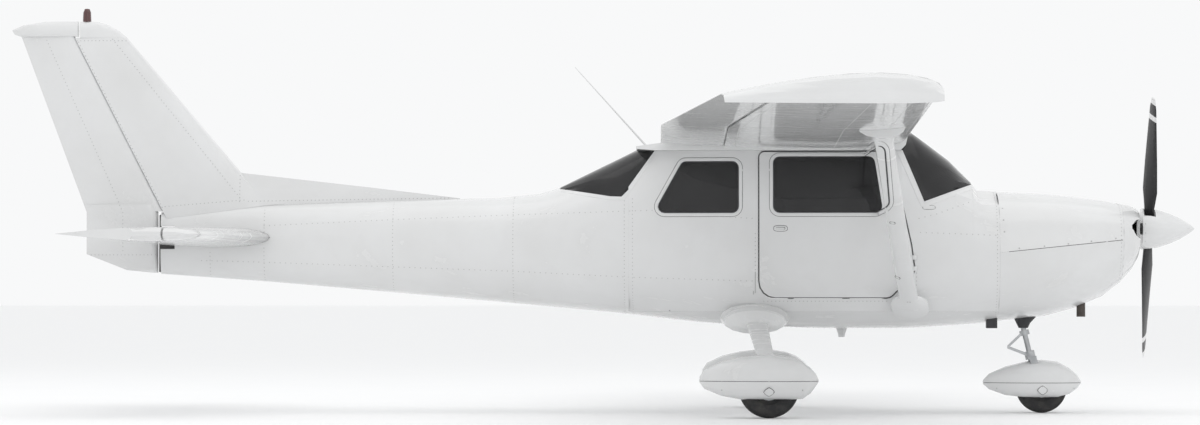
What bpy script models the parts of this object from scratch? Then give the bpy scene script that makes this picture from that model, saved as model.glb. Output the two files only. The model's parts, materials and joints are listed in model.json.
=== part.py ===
"""Light aircraft: four seats, high strut-braced wing, one engine, fixed tricycle gear with wheel fairings.

Metres, +X forward to the nose, +Y to port, +Z up. The origin is on the ground below the middle of the
aircraft's length, and the aircraft stands on its wheels as it parks.
"""

import math

import bmesh
import bpy
from mathutils import Matrix, Vector

# Clearances
GAP = 0.0003
SEAL = 0.0009
WALL_ROOM = 0.0006
CLEAR = 0.009
DOOR_CLEAR = 0.0095
HINGE_PLAY = 0.0007

# Fuselage outline along its length. Each row is a rounded section: the waist is its widest height, and
# the powers say how square it is below and above the waist (2 is an ellipse).
# x, half width, belly, waist, top, lower power, upper power
BODY = (
    (-3.050, 0.055, 0.957, 1.170, 1.386, 2.4, 2.4),
    (-2.280, 0.140, 0.902, 1.170, 1.437, 2.4, 2.4),
    (-1.385, 0.240, 0.825, 1.160, 1.468, 2.5, 2.5),
    (-0.693, 0.325, 0.763, 1.150, 1.483, 2.5, 2.6),
    (-0.416, 0.358, 0.737, 1.145, 1.511, 2.6, 2.6),
    (-0.285, 0.374, 0.726, 1.140, 1.549, 2.6, 2.7),
    (0.084, 0.422, 0.692, 1.130, 1.731, 2.7, 3.2),
    (0.263, 0.446, 0.674, 1.125, 1.817, 2.8, 3.8),
    (0.430, 0.468, 0.654, 1.120, 1.900, 2.8, 5.0),
    (0.700, 0.497, 0.624, 1.120, 1.930, 3.0, 5.0),
    (1.070, 0.523, 0.600, 1.120, 1.930, 3.0, 5.0),
    (1.523, 0.537, 0.583, 1.120, 1.930, 3.0, 5.0),
    (2.060, 0.537, 0.583, 1.120, 1.930, 3.0, 5.0),
    (2.141, 0.536, 0.586, 1.120, 1.928, 3.0, 4.5),
    (2.216, 0.534, 0.590, 1.120, 1.878, 3.0, 4.0),
    (2.396, 0.528, 0.602, 1.115, 1.743, 2.9, 3.2),
    (2.566, 0.518, 0.614, 1.110, 1.573, 2.8, 2.8),
    (2.600, 0.516, 0.617, 1.110, 1.531, 2.8, 2.7),
    (2.730, 0.505, 0.631, 1.110, 1.524, 2.6, 2.6),
    (3.068, 0.480, 0.667, 1.130, 1.508, 2.5, 2.5),
    (3.263, 0.457, 0.720, 1.150, 1.489, 2.4, 2.5),
    (3.458, 0.425, 0.800, 1.175, 1.463, 2.4, 2.5),
    (3.578, 0.392, 0.896, 1.200, 1.441, 2.3, 2.4),
    (3.654, 0.340, 0.979, 1.220, 1.424, 2.2, 2.3),
    (3.698, 0.270, 1.054, 1.240, 1.403, 2.1, 2.2),
    (3.712, 0.225, 1.100, 1.250, 1.385, 2.0, 2.0),
)
BODY_COLUMNS = len(BODY[0])
TAIL_END = BODY[0][0]
NOSE_END = BODY[-1][0]
TAIL_CONE_FRONT = 0.208
FIREWALL_X = 2.730
FIREWALL_THICK = 0.016
NOSE_BOWL_X = 3.578

# Walls
SKIN = 0.010
SIDE_WALL = 0.030
DOOR_WALL = 0.034
GLASS = 0.006
GLASS_INSET = 0.004
GLASS_TUCK = 0.020
FLOOR_TOP = 0.700
SIDE_ROWS = 8
FLOOR_STEPS = 10

# Side view of the glass: lower edge of the windscreen and of the wrap-round rear window, as x and z
ROOF_UNDER = 1.795
WINDSCREEN_POST = ((2.071, ROOF_UNDER), (2.216, 1.445))
WINDSCREEN_BASE = ((2.216, 1.445), (2.550, 1.567))
REAR_POST = ((0.160, 1.482), (0.385, ROOF_UNDER))
REAR_BASE = ((-0.270, 1.541), (0.084, 1.485), (0.160, 1.482))
REAR_TOP_X = 0.263
REAR_GLASS_ROOM = 0.0005
REAR_CORNER_Z = 1.549
REAR_CUT_TOP = 1.950
SIDE_STATIONS = (REAR_POST[1][0], WINDSCREEN_POST[0][0], WINDSCREEN_BASE[1][0], 2.556)

# Side openings, as x and z corners with a corner radius
DOOR_OUTLINE = (
    (1.100, 0.795),
    (1.985, 0.795),
    (2.150, 0.965),
    (2.125, 1.150),
    (1.985, 1.783),
    (1.100, 1.783),
)
DOOR_RADII = (0.110, 0.060, 0.080, 0.200, 0.035, 0.035)
DOOR_WINDOW = ((1.192, 1.368), (1.939, 1.368), (1.878, 1.753), (1.192, 1.753))
QUARTER_WINDOW = ((0.378, 1.368), (0.961, 1.368), (0.961, 1.721), (0.575, 1.721))
WINDOW_RADIUS = 0.045
# Sheets that the outlines above are cut from: their x range and z range
DOOR_SHEET = ((1.020, 2.190), (0.760, 1.787))
DOOR_PANE_SHEET = ((1.130, 1.990), (1.340, 1.780))
QUARTER_PANE_SHEET = ((0.300, 1.030), (1.340, 1.750))
BAGGAGE_SHEET = ((0.300, 0.830), (0.830, 1.320))
# how far from the middle the side cutters reach, inner and outer
SIDE_REACH = (0.2, 0.9)
PANE_ROWS = 4
DOOR_HINGE = (2.146, 0.541)
DOOR_KNUCKLES = ((0.975, 1.005), (1.050, 1.080))
DOOR_KNUCKLE_RADIUS = 0.018
BAGGAGE_DOOR = ((0.330, 0.860), (0.800, 0.860), (0.800, 1.290), (0.330, 1.290))
BAGGAGE_RADIUS = 0.050
BAGGAGE_HINGE = (0.803, 0.506)
BAGGAGE_KNUCKLES = ((0.950, 0.980), (1.170, 1.200))
BAGGAGE_KNUCKLE_RADIUS = 0.012

# Wing sections from root to tip: y, leading edge x, trailing edge x, leading edge z, trailing edge z
WING = {
    "root": (0.530, 2.105, 0.430, 1.885, 1.841),
    "break": (2.556, 2.100, 0.470, 1.918, 1.878),
    "tip": (5.290, 2.088, 0.850, 1.960, 1.930),
}
WING_RATIO = 0.12
WING_CAMBER = 0.02
CAMBER_PLACE = 0.4
WING_HINGE = 0.76
SURFACE_STEPS = 7
NOSE_STEPS = 6
END_GAP = 0.014
TIP_Y = 5.460
TIP_LOW_Z = 1.869
WING_END = 5.300
WING_LUGS = (0.90, 2.20, 3.00, 4.90)
LUG_LENGTH = 0.035
LUG_HALF = 0.002
LUG_RISE = 0.010
FLAP_OUTER = 2.550
AILERON_INNER = 2.564
AILERON_OUTER = 5.280
# wing tip cap: y, share of the thickness kept, drop to the low edge, share of the chord kept
TIP_SECTIONS = (
    (5.288, 0.960, 0.00, 0.99),
    (5.303, 1.000, 0.00, 1.00),
    (5.350, 0.980, 0.05, 1.00),
    (5.410, 0.850, 0.22, 1.00),
    (5.445, 0.550, 0.55, 1.00),
    (TIP_Y, 0.160, 0.95, 1.00),
)
FLAP_PIVOT_BELOW = 0.130
FLAP_PIVOT_AFT = 0.060
ROOF_HALF = WING["root"][0]

# Wing strut: y, x, z of its middle line at the fuselage and at the wing
STRUT_LOW = (0.560, 2.112, 0.752)
STRUT_TOP = (2.550, 1.853, 1.850)
# share of the way up, chord, thickness in z
STRUT_SECTIONS = (
    (-0.040, 0.255, 0.118),
    (0.004, 0.255, 0.118),
    (0.022, 0.205, 0.088),
    (0.036, 0.128, 0.056),
    (0.930, 0.122, 0.052),
    (0.968, 0.150, 0.070),
    (1.010, 0.300, 0.140),
)

# Tailplane and elevator: half span positions and edges
TAIL_Z = 1.210
TAIL_HINGE_X = -3.030
TAIL_ROOT = (0.000, -2.250, -3.480)
TAIL_OUTER = (1.556, -2.560, -3.490)
TAIL_TIP = (1.720, -2.640, -3.496)
TAIL_ROOT_RATIO = 0.115
TAIL_TIP_RATIO = 0.100
# tail tip: share of its span, share of the thickness kept, share of the chord kept
TAIL_TIP_SECTIONS = ((0.00, 0.94, 0.99), (0.15, 1.00, 1.00), (0.70, 0.90, 1.00), (1.00, 0.35, 1.00))
HORN_FRONT_X = -2.806
HORN_GAP = 0.014
ELEVATOR_INNER = 0.095
TORQUE_TUBE_HALF = 0.2
TORQUE_TUBE_RADIUS = 0.026
TAIL_LUGS = (-1.30, -0.60, 0.60, 1.30)
TAB_SPAN = (0.330, 0.950)
TAB_LUGS = (-0.84, -0.44)
TAB_CHORD = 0.085

# Fin and rudder: z, leading edge x, hinge x, trailing edge x
FIN_LOW = (1.386, -2.260, -3.061, -3.574)
FIN_TOP = (2.598, -3.290, -3.679, -4.029)
FIN_RATIO = 0.085
FIN_LUGS = (1.70, 2.35)
# rudder's lower block below the tailplane: z, front x, rear x, half thickness
RUDDER_FOOT = (
    (0.966, -3.072, -3.110, 0.014),
    (0.984, -3.072, -3.290, 0.030),
    (1.095, -3.072, -3.574, 0.045),
    (1.386, -3.072, -3.574, 0.053),
)
RUDDER_FOOT_TOP = (1.440, -3.100, -3.592, 0.054)
# fin cap and rudder cap, side view: z, front x, rear x, half thickness
FIN_CAP = (
    (2.6003, -3.292, -3.620, 0.034),
    (2.650, -3.352, -3.620, 0.038),
    (2.690, -3.420, -3.620, 0.034),
    (2.713, -3.500, -3.620, 0.020),
)
RUDDER_CAP = (
    (2.610, -3.636, -4.034, 0.031),
    (2.624, -3.636, -4.080, 0.038),
    (2.655, -3.636, -4.100, 0.038),
    (2.690, -3.636, -4.020, 0.032),
    (2.715, -3.636, -3.860, 0.020),
)
# dorsal fin: x, ridge z, half thickness at its foot
DORSAL = (
    (-0.970, 1.482, 0.012),
    (-1.600, 1.558, 0.026),
    (-2.493, 1.660, 0.040),
)
RIDGE_HALF = 0.004
# beacon: x, base z, radius, and its shape as share of the radius and height above the base
BEACON = (-3.575, 2.7136, 0.030)
BEACON_CURVE = ((0.0, 0.093), (0.6, 0.089), (0.92, 0.0651), (1.0, 0.012), (1.0, 0.0), (0.0, 0.0))

# Propeller and spinner
SHAFT_Z = 1.268
PROP_X = 3.784
PROP_ROLL = math.radians(21.7)
HUB_RADIUS = 0.062
HUB_HALF = 0.034
SHAFT_RADIUS = 0.050
# radius, chord, thickness, pitch in degrees
BLADE = (
    (0.030, 0.070, 0.050, 55.0),
    (0.140, 0.080, 0.040, 48.0),
    (0.280, 0.142, 0.030, 38.0),
    (0.480, 0.150, 0.020, 28.0),
    (0.700, 0.136, 0.014, 21.0),
    (0.880, 0.110, 0.010, 17.0),
    (0.9525, 0.056, 0.007, 16.0),
)
SPINNER_BASE_X = 3.733
SPINNER_TIP_X = 4.100
# share of the length from the base, share of the base radius
SPINNER_RADIUS = 0.143
SPINNER_CURVE = (
    (0.00, 1.00),
    (0.15, 0.985),
    (0.32, 0.90),
    (0.52, 0.74),
    (0.72, 0.51),
    (0.90, 0.23),
    (0.98, 0.07),
)
SPINNER_SLOT = (3.744, 3.824, 0.070)
SLOT_REACH = 0.2
SPINNER_BORE = (3.70, 3.78)

# Engine, cowling details
ENGINE = ((FIREWALL_X + GAP, 3.400), 0.355, (0.970, 1.340))
COWL_SPLIT = (1.104, 0.098, 2.779)
INLET = (0.235, 1.262, 0.110, 0.066)
EXHAUST = (3.310, -0.090, 0.030, 0.662, 0.860)

# Wheels: axle x, axle y, tyre radius, half width, rim radius
MAIN_WHEEL = (1.156, 1.270, 0.200, 0.076, 0.082)
NOSE_WHEEL = (3.044, 0.000, 0.175, 0.062, 0.070)
AXLE_RADIUS = 0.018
TYRE_STEPS = 24
# fairings: x from the axle, half width, top z, bottom z
MAIN_POD = (
    (-0.457, 0.012, 0.272, 0.236),
    (-0.425, 0.046, 0.320, 0.193),
    (-0.313, 0.100, 0.373, 0.147),
    (-0.180, 0.136, 0.405, 0.122),
    (0.000, 0.152, 0.424, 0.122),
    (0.150, 0.144, 0.400, 0.122),
    (0.222, 0.126, 0.372, 0.127),
    (0.276, 0.092, 0.331, 0.166),
    (0.310, 0.050, 0.292, 0.214),
    (0.326, 0.012, 0.258, 0.236),
)
MAIN_PART_Z = 0.244
NOSE_POD = (
    (-0.399, 0.010, 0.226, 0.196),
    (-0.360, 0.042, 0.268, 0.162),
    (-0.250, 0.092, 0.318, 0.122),
    (-0.120, 0.124, 0.351, 0.106),
    (0.000, 0.134, 0.366, 0.105),
    (0.110, 0.122, 0.353, 0.106),
    (0.190, 0.090, 0.310, 0.130),
    (0.245, 0.048, 0.262, 0.170),
    (0.270, 0.010, 0.222, 0.200),
)
NOSE_PART_Z = 0.207
# how square a fairing's section is above and below its parting line (2 is an ellipse)
POD_UPPER_POWER = 2.8
POD_LOWER_POWER = 4.0
POD_POINTS = 20
# wheel well: room round the tread, and room beside the tyre
MAIN_WELL_ROOM = (0.010, 0.012)
NOSE_WELL_ROOM = (0.008, 0.012)
# tyre section from the tread inwards: share of the radius, share of the half width
TYRE_SHAPE = ((1.00, 0.00), (0.985, 0.45), (0.90, 0.86), (0.72, 1.00), (0.52, 0.90))
WELL_SHAPE = TYRE_SHAPE[:4]

# Main gear leg: y, z, x, chord, thickness
MAIN_LEG = (
    (0.400, 0.668, 1.078, 0.150, 0.030),
    (0.620, 0.607, 1.085, 0.142, 0.030),
    (0.900, 0.515, 1.108, 0.126, 0.028),
    (1.100, 0.444, 1.126, 0.116, 0.026),
    (1.152, 0.400, 1.138, 0.108, 0.025),
    (1.160, 0.160, 1.156, 0.090, 0.024),
)
# disc at the fuselage: y, z, x, radius in x, radius across
LEG_DISC = ((0.440, 0.655, 0.235, 0.100), (0.560, 0.628, 0.210, 0.080), (0.600, 0.612, 0.110, 0.035))
LEG_DISC_X = 1.068
AXLE_INNER = 1.150
AXLE_ROOM = (1.140, 1.200)

# Nose leg: x and z on its sloping middle line
NOSE_LEG_TOP = (2.875, 0.775)
NOSE_LEG_LOW = (2.968, 0.395)
NOSE_TUBE_RADIUS = 0.018
BEARING_Z = 0.690
NOSE_TUBE_TOP = 0.740
NOSE_TUBE_FOOT = 0.400
BORE_ROOM = 0.006
# collar and fork crown: high z, low z, radius
NOSE_COLLAR = (0.568, 0.535, 0.034)
FORK_CROWN = (0.425, 0.372, 0.036)
# bridge over the wheel: x range, z range
FORK_BRIDGE = ((2.950, 3.006), (0.366, 0.392))
# torque links: x and z of the knee, half width, and each link's name and root z
LINK_KNEE = (2.812, 0.452)
LINK_HALF = 0.022
LINK_ROOTS = (("upper", 0.553), ("lower", 0.396))
NOSE_FORK_HALF = 0.072
FORK_THICK = 0.014
# top of the fork blades: z, rear x, front x
FORK_TOP = (0.390, 2.952, 3.004)
FORK_FOOT = 0.020
FORK_FOOT_HALF = 0.024
NOSE_HOUSING = ((0.760, 0.086, 0.052), (0.660, 0.078, 0.050), (0.618, 0.048, 0.040), (0.584, 0.032, 0.032))

# Cabin
# shallow recesses in the floor for flat plates: name, low x and y, high x and y
FLOOR_PLATES = (
    ("luggage", (0.260, -0.160), (0.400, 0.160)),
    ("crew", (1.800, -0.100), (2.200, 0.100)),
)
PLATE_DEPTH = 0.002
PLATE_ROOM = 0.050
SEAT_Y = 0.245
SEAT_HALF = 0.215
SEAT_CLEAR = 0.018
REAR_SEAT_HALF = 0.430
# Profiles of the instrument panel, a front seat and the rear bench, as x and z
PANEL_PROFILE = (
    (2.265, 1.030),
    (2.330, 1.030),
    (2.350, 1.300),
    (2.520, 1.470),
    (2.500, 1.520),
    (2.235, 1.462),
)
PANEL_HALF = 0.52
SEAT_PROFILE = (
    (1.80, 0.935),
    (1.81, 1.045),
    (1.78, 1.075),
    (1.38, 1.050),
    (1.22, 1.560),
    (1.17, 1.575),
    (1.13, 1.555),
    (1.26, 0.935),
)
BENCH_PROFILE = (
    (0.92, FLOOR_TOP + GAP),
    (0.94, 1.030),
    (0.90, 1.055),
    (0.58, 1.030),
    (0.47, 1.480),
    (0.43, 1.490),
    (0.40, 1.470),
    (0.46, FLOOR_TOP + GAP),
)
# front seat frames: cross rail, pan and posts
SEAT_RAIL = ((1.30, -0.37, FLOOR_TOP + GAP), (1.34, 0.37, FLOOR_TOP + 0.04))
SEAT_PAN_X = (1.28, 1.76)
SEAT_PAN_Z = (0.90, 0.935 - GAP)
SEAT_PAN_INSET = 0.02
SEAT_POST_X = (1.32, 1.70)
SEAT_POST_Y = (-0.12, 0.12)
SEAT_POST_HALF = 0.015
SEAT_POST_TOP = 0.91
PEDESTAL = ((2.275, -0.085, FLOOR_TOP + GAP), (2.345, 0.085, 1.060))
BULKHEAD_TOP = 1.440
BULKHEAD_THICK = 0.012

# Antennas
WHIP_BASE = (0.330, 0.160, 1.8364)
WHIP_TIP = (-0.180, 0.160, 2.400)
WHIP_RADIUS = 0.005
BELLY_VENT = ((2.655, -0.230, 0.584), (2.728, -0.130, 0.680))
BELLY_MAST_X = 1.670
# belly mast: z, half length, half thickness
BELLY_MAST = ((0.521, 0.021, 0.007), (0.540, 0.024, 0.009), (0.583 - GAP, 0.037, 0.013))

COLOURS = {
    "white_paint": ((0.84, 0.85, 0.86, 1.0), 0.16, 0.0),
    "leg_paint": ((0.84, 0.85, 0.86, 1.0), 0.16, 0.0),
    "grey_metal": ((0.42, 0.43, 0.44, 1.0), 0.45, 0.8),
    "engine_metal": ((0.20, 0.20, 0.21, 1.0), 0.60, 0.6),
    "exhaust_metal": ((0.16, 0.14, 0.13, 1.0), 0.55, 0.9),
    "tinted_glass": ((0.10, 0.11, 0.12, 1.0), 0.04, 0.0),
    "black_paint": ((0.02, 0.02, 0.022, 1.0), 0.35, 0.0),
    "tyre_rubber": ((0.025, 0.025, 0.025, 1.0), 0.85, 0.0),
    "seat_leather": ((0.09, 0.085, 0.08, 1.0), 0.55, 0.0),
    "dark_trim": ((0.05, 0.05, 0.055, 1.0), 0.70, 0.0),
    "beacon_lens": ((0.10, 0.02, 0.02, 1.0), 0.15, 0.0),
}


def clear_scene():
    for obj in list(bpy.data.objects):
        bpy.data.objects.remove(obj, do_unlink=True)


def new_collection(name):
    collection = bpy.data.collections.new(name)
    bpy.context.scene.collection.children.link(collection)
    return collection


def material(slot, owner):
    """The piece's own material, from the values of its slot."""
    colour, roughness, metallic = COLOURS[slot]
    made = bpy.data.materials.new(f"{owner}_{slot}")
    made.use_nodes = True
    shader = made.node_tree.nodes["Principled BSDF"]
    shader.inputs["Base Color"].default_value = colour
    shader.inputs["Roughness"].default_value = roughness
    shader.inputs["Metallic"].default_value = metallic
    return made


def place(obj, slot):
    """Puts the object among the parts with its material, or among the cutters when slot is None."""
    if slot is None:
        CUTTERS.objects.link(obj)
        obj.hide_render = True
        obj.display_type = "WIRE"
        return obj
    PARTS.objects.link(obj)
    obj.data.materials.append(material(slot, obj.name))
    return obj


def mesh_object(name, bm, slot, smooth=35.0):
    bmesh.ops.recalc_face_normals(bm, faces=bm.faces)
    mesh = bpy.data.meshes.new(name)
    bm.to_mesh(mesh)
    bm.free()
    if smooth:
        mesh.shade_smooth()
        mesh.set_sharp_from_angle(angle=math.radians(smooth))
    return place(bpy.data.objects.new(name, mesh), slot)


def into_triangles(bm):
    """Splits the four-sided faces by their shape alone, so that neighbouring pieces split alike."""
    bmesh.ops.triangulate(bm, faces=bm.faces, quad_method="SHORT_EDGE", ngon_method="BEAUTY")


def loft(name, rings, slot=None, smooth=35.0):
    """A closed solid through rings that have the same number of points, with flat ends."""
    bm = bmesh.new()
    rows = [[bm.verts.new(point) for point in ring] for ring in rings]
    count = len(rows[0])
    for row, following in zip(rows, rows[1:]):
        for i in range(count):
            j = (i + 1) % count
            bm.faces.new((row[i], row[j], following[j], following[i]))
    into_triangles(bm)
    bm.faces.new(rows[0])
    bm.faces.new(rows[-1])
    return mesh_object(name, bm, slot, smooth)


def shell(name, outer, inner, slot, wraps=False):
    """A wall between two grids of points. With wraps, each row of the grids is a closed ring."""
    bm = bmesh.new()
    sides = [[[bm.verts.new(point) for point in row] for row in grid] for grid in (outer, inner)]
    rows = len(outer)
    columns = len(outer[0])
    last = columns if wraps else columns - 1
    for side in sides:
        for i in range(rows - 1):
            for j in range(last):
                k = (j + 1) % columns
                bm.faces.new((side[i][j], side[i][k], side[i + 1][k], side[i + 1][j]))
    for i in (0, rows - 1):
        for j in range(last):
            k = (j + 1) % columns
            bm.faces.new((sides[0][i][j], sides[0][i][k], sides[1][i][k], sides[1][i][j]))
    if not wraps:
        for j in (0, columns - 1):
            for i in range(rows - 1):
                bm.faces.new((sides[0][i][j], sides[0][i + 1][j], sides[1][i + 1][j], sides[1][i][j]))
    into_triangles(bm)
    return mesh_object(name, bm, slot)


def box(name, low, high, slot=None, bevel=0.0):
    bm = bmesh.new()
    bmesh.ops.create_cube(bm, size=1.0)
    size = [b - a for a, b in zip(low, high)]
    middle = [(a + b) / 2 for a, b in zip(low, high)]
    bmesh.ops.scale(bm, vec=size, verts=bm.verts)
    bmesh.ops.translate(bm, vec=middle, verts=bm.verts)
    obj = mesh_object(name, bm, slot, None)
    if bevel:
        rounded = obj.modifiers.new("rounded_edges", "BEVEL")
        rounded.width = bevel
        rounded.segments = 2
    return obj


def rod(name, start, end, radius, slot=None, end_radius=None, sides=16):
    """A round bar between two points."""
    start = Vector(start)
    end = Vector(end)
    along = end - start
    bm = bmesh.new()
    bmesh.ops.create_cone(
        bm,
        cap_ends=True,
        segments=sides,
        radius1=radius,
        radius2=radius if end_radius is None else end_radius,
        depth=along.length,
    )
    turn = along.to_track_quat("Z", "Y").to_matrix().to_4x4()
    bmesh.ops.transform(bm, matrix=Matrix.Translation((start + end) / 2) @ turn, verts=bm.verts)
    return mesh_object(name, bm, slot)


def turned(name, profile, centre, direction, slot=None, steps=TYRE_STEPS, closed=False):
    """A turned shape: profile points are radius and distance along direction, listed down the outer side."""
    mesh = bpy.data.meshes.new(name)
    count = len(profile)
    edges = [(i, i + 1) for i in range(count - 1)]
    if closed:
        edges.append((count - 1, 0))
    mesh.from_pydata([(radius, 0.0, along) for radius, along in profile], edges, [])
    obj = place(bpy.data.objects.new(name, mesh), slot)
    obj.location = centre
    obj.rotation_euler = Vector(direction).to_track_quat("Z", "Y").to_euler()
    screw = obj.modifiers.new("turned", "SCREW")
    screw.steps = steps
    screw.render_steps = steps
    screw.use_merge_vertices = True
    screw.merge_threshold = 0.00005
    screw.use_smooth_shade = True
    return obj


def boolean(obj, other, operation):
    modifier = obj.modifiers.new(operation.lower() + "_" + other.name, "BOOLEAN")
    modifier.operation = operation
    modifier.solver = "EXACT"
    modifier.object = other
    return obj


def cut(obj, *cutters):
    for cutter in cutters:
        boolean(obj, cutter, "DIFFERENCE")
    return obj


def join(obj, *others):
    for other in others:
        boolean(obj, other, "UNION")
    return obj


def mirrored(name, source, slot):
    """The same piece on the other side of the aircraft, as its own mesh with its faces turned back out."""
    mesh = source.data.copy()
    mesh.transform(Matrix.Scale(-1.0, 4, (0.0, 1.0, 0.0)))
    mesh.flip_normals()
    obj = bpy.data.objects.new(name, mesh)
    mesh.materials.clear()
    return place(obj, slot)


def between(low, high, share):
    return low + (high - low) * share


def line_at(points, x):
    """Height at x on a run of straight lines through the points, which are in order of x."""
    for (xa, za), (xb, zb) in zip(points, points[1:]):
        if x <= xb:
            return between(za, zb, (x - xa) / (xb - xa))
    return points[-1][1]


def body_at(x):
    """The fuselage's section values at x, straight between the rows of BODY."""
    for low, high in zip(BODY, BODY[1:]):
        if x <= high[0]:
            share = (x - low[0]) / (high[0] - low[0])
            return [between(low[i], high[i], share) for i in range(1, BODY_COLUMNS)]
    return list(BODY[-1][1:])


def body_point(x, angle, inset=0.0):
    """A point of the section at x: angle is 0 at the port waist, a right angle at the top centre."""
    half, belly, waist, top, low_power, high_power = body_at(x)
    rise = math.sin(angle)
    power, height = (high_power, top - waist) if rise > 0 else (low_power, waist - belly)
    y = math.copysign(abs(math.cos(angle)) ** (2 / power), math.cos(angle)) * (half - inset)
    z = waist + math.copysign(abs(rise) ** (2 / power), rise) * (height - inset)
    return Vector((x, y, z))


def angle_at(x, z):
    """The port side angle at which the section at x reaches the height z."""
    half, belly, waist, top, low_power, high_power = body_at(x)
    if z >= waist:
        return math.asin(min(1.0, (z - waist) / (top - waist)) ** (high_power / 2))
    return -math.asin(min(1.0, (waist - z) / (waist - belly)) ** (low_power / 2))


def stations(low, high, *extra):
    inner = {row[0] for row in BODY if low < row[0] < high} | {x for x in extra if low < x < high}
    return [low, *sorted(inner), high]


def body_ring(x, inset=0.0, count=24):
    return [body_point(x, 2 * math.pi * (i + 0.5) / count - math.pi / 2, inset) for i in range(count)]


def body_solid(name, low, high, inset):
    """The space inside the fuselage's surface, as a cutter."""
    return loft(name, [body_ring(x, inset) for x in stations(low, high)])


def cabin_ring(x, inset):
    """The section inside the cabin's side walls, at the walls' own heights."""
    port = []
    for i in range(SIDE_ROWS + 1):
        angle = angle_at(x, between(FLOOR_TOP, side_high(x), i / SIDE_ROWS))
        port.append(body_point(x, angle, inset))
    port.insert(0, Vector((x, port[0].y - inset / 4, FLOOR_TOP + GAP)))
    return port + [Vector((point.x, -point.y, point.z)) for point in reversed(port)]


def cabin_solid(name, low, high, inset):
    """The space between the cabin's side walls, as a cutter."""
    return loft(name, [cabin_ring(x, inset) for x in stations(low, high, *SIDE_STATIONS)])


def under_arc(x, edge, grow=0.0):
    """The body's outside under the floor, from one edge round the keel to the other."""
    turns = [between(-math.pi - edge, edge, i / FLOOR_STEPS) for i in range(FLOOR_STEPS + 1)]
    return [body_point(x, turn, -grow) for turn in turns]


def skin_ring(x, grow):
    """The outside of the cabin's floor and side walls, a little larger."""
    edge = angle_at(x, FLOOR_TOP)
    floor = under_arc(x, edge, grow)
    heights = [between(FLOOR_TOP, side_high(x), i / SIDE_ROWS) for i in range(1, SIDE_ROWS + 1)]
    port = [body_point(x, angle_at(x, z), -grow) for z in heights]
    return floor + port + [Vector((point.x, -point.y, point.z)) for point in reversed(port)]


def arc_panel(name, xs, edge, slot, thickness, inset=0.0, columns=12, lower=False):
    """A panel that wraps over the top of the body, or under it, between equal heights on both sides."""
    grids = []
    for depth in (inset, inset + thickness):
        grid = []
        for x in xs:
            start = angle_at(x, edge(x))
            end = math.pi - start
            if lower:
                start, end = math.pi - start, 2 * math.pi + start
            grid.append([body_point(x, between(start, end, i / columns), depth) for i in range(columns + 1)])
        grids.append(grid)
    return shell(name, grids[0], grids[1], slot)


def side_panel(name, xs, low, high, slot, thickness, inset=0.0, rows=SIDE_ROWS, side=1):
    """A panel of the fuselage's side between two heights, which may vary with x."""
    grids = []
    for depth in (inset, inset + thickness):
        grid = []
        for x in xs:
            row = []
            for i in range(rows + 1):
                angle = angle_at(x, between(low(x), high(x), i / rows))
                point = body_point(x, angle, depth)
                row.append(Vector((point.x, side * point.y, point.z)))
            grid.append(row)
        grids.append(grid)
    return shell(name, grids[0], grids[1], slot)


def rounded(corners, radii, grow=0.0, steps=4):
    """A flat outline with its corners rounded, moved outwards by grow. Corners run anticlockwise."""
    count = len(corners)
    points = [Vector(corner) for corner in corners]
    moved = []
    for i in range(count):
        before = (points[i] - points[i - 1]).normalized()
        after = (points[(i + 1) % count] - points[i]).normalized()
        normals = [Vector((direction.y, -direction.x)) for direction in (before, after)]
        middle = (normals[0] + normals[1]).normalized()
        moved.append(points[i] + middle * (grow / middle.dot(normals[0])))
    outline = []
    for i in range(count):
        before = (moved[i - 1] - moved[i]).normalized()
        after = (moved[(i + 1) % count] - moved[i]).normalized()
        half_angle = before.angle(after) / 2
        radius = radii[i] + grow
        reach = radius / math.tan(half_angle)
        centre = moved[i] + (before + after).normalized() * (radius / math.sin(half_angle))
        first = moved[i] + before * reach - centre
        last = moved[i] + after * reach - centre
        turn = math.atan2(first.x * last.y - first.y * last.x, first.dot(last))
        for k in range(steps + 1):
            spot = Matrix.Rotation(turn * k / steps, 2) @ first
            outline.append(centre + spot)
    return outline


def prism(name, outline, low, high, slot=None):
    """An outline of x and z drawn out along y."""
    rings = [[(point[0], y, point[1]) for point in outline] for y in (low, high)]
    return loft(name, rings, slot, None)


def window_cutter(name, corners, side, grow):
    outline = rounded(corners, [WINDOW_RADIUS] * len(corners), grow)
    return prism(name, outline, *side_span(side))


def side_span(side):
    """Where a cutter through one side of the cabin starts and ends."""
    return sorted(side * reach for reach in SIDE_REACH)


def level(height):
    """A panel edge that stays at one height."""
    return lambda x: height


def thickness_at(share, ratio):
    """Half thickness of the wing section at a share of its chord, as a share of the chord."""
    front = 0.2969 * math.sqrt(share) - 0.1260 * share
    square = share * share
    return 5 * ratio * (front - 0.3516 * square + 0.2843 * share * square - 0.1015 * square * square)


def camber_at(share, camber):
    if share < CAMBER_PLACE:
        return camber / CAMBER_PLACE**2 * (2 * CAMBER_PLACE * share - share * share)
    rise = 1 - 2 * CAMBER_PLACE + 2 * CAMBER_PLACE * share - share * share
    return camber / (1 - CAMBER_PLACE) ** 2 * rise


def section_values(places, chord, ratio, camber, swell=0.0):
    """Distance aft, middle height and half thickness at each place along a section."""
    values = []
    for place in places:
        share = place / chord
        values.append((place, camber_at(share, camber) * chord, thickness_at(share, ratio) * chord + swell))
    return values


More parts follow.
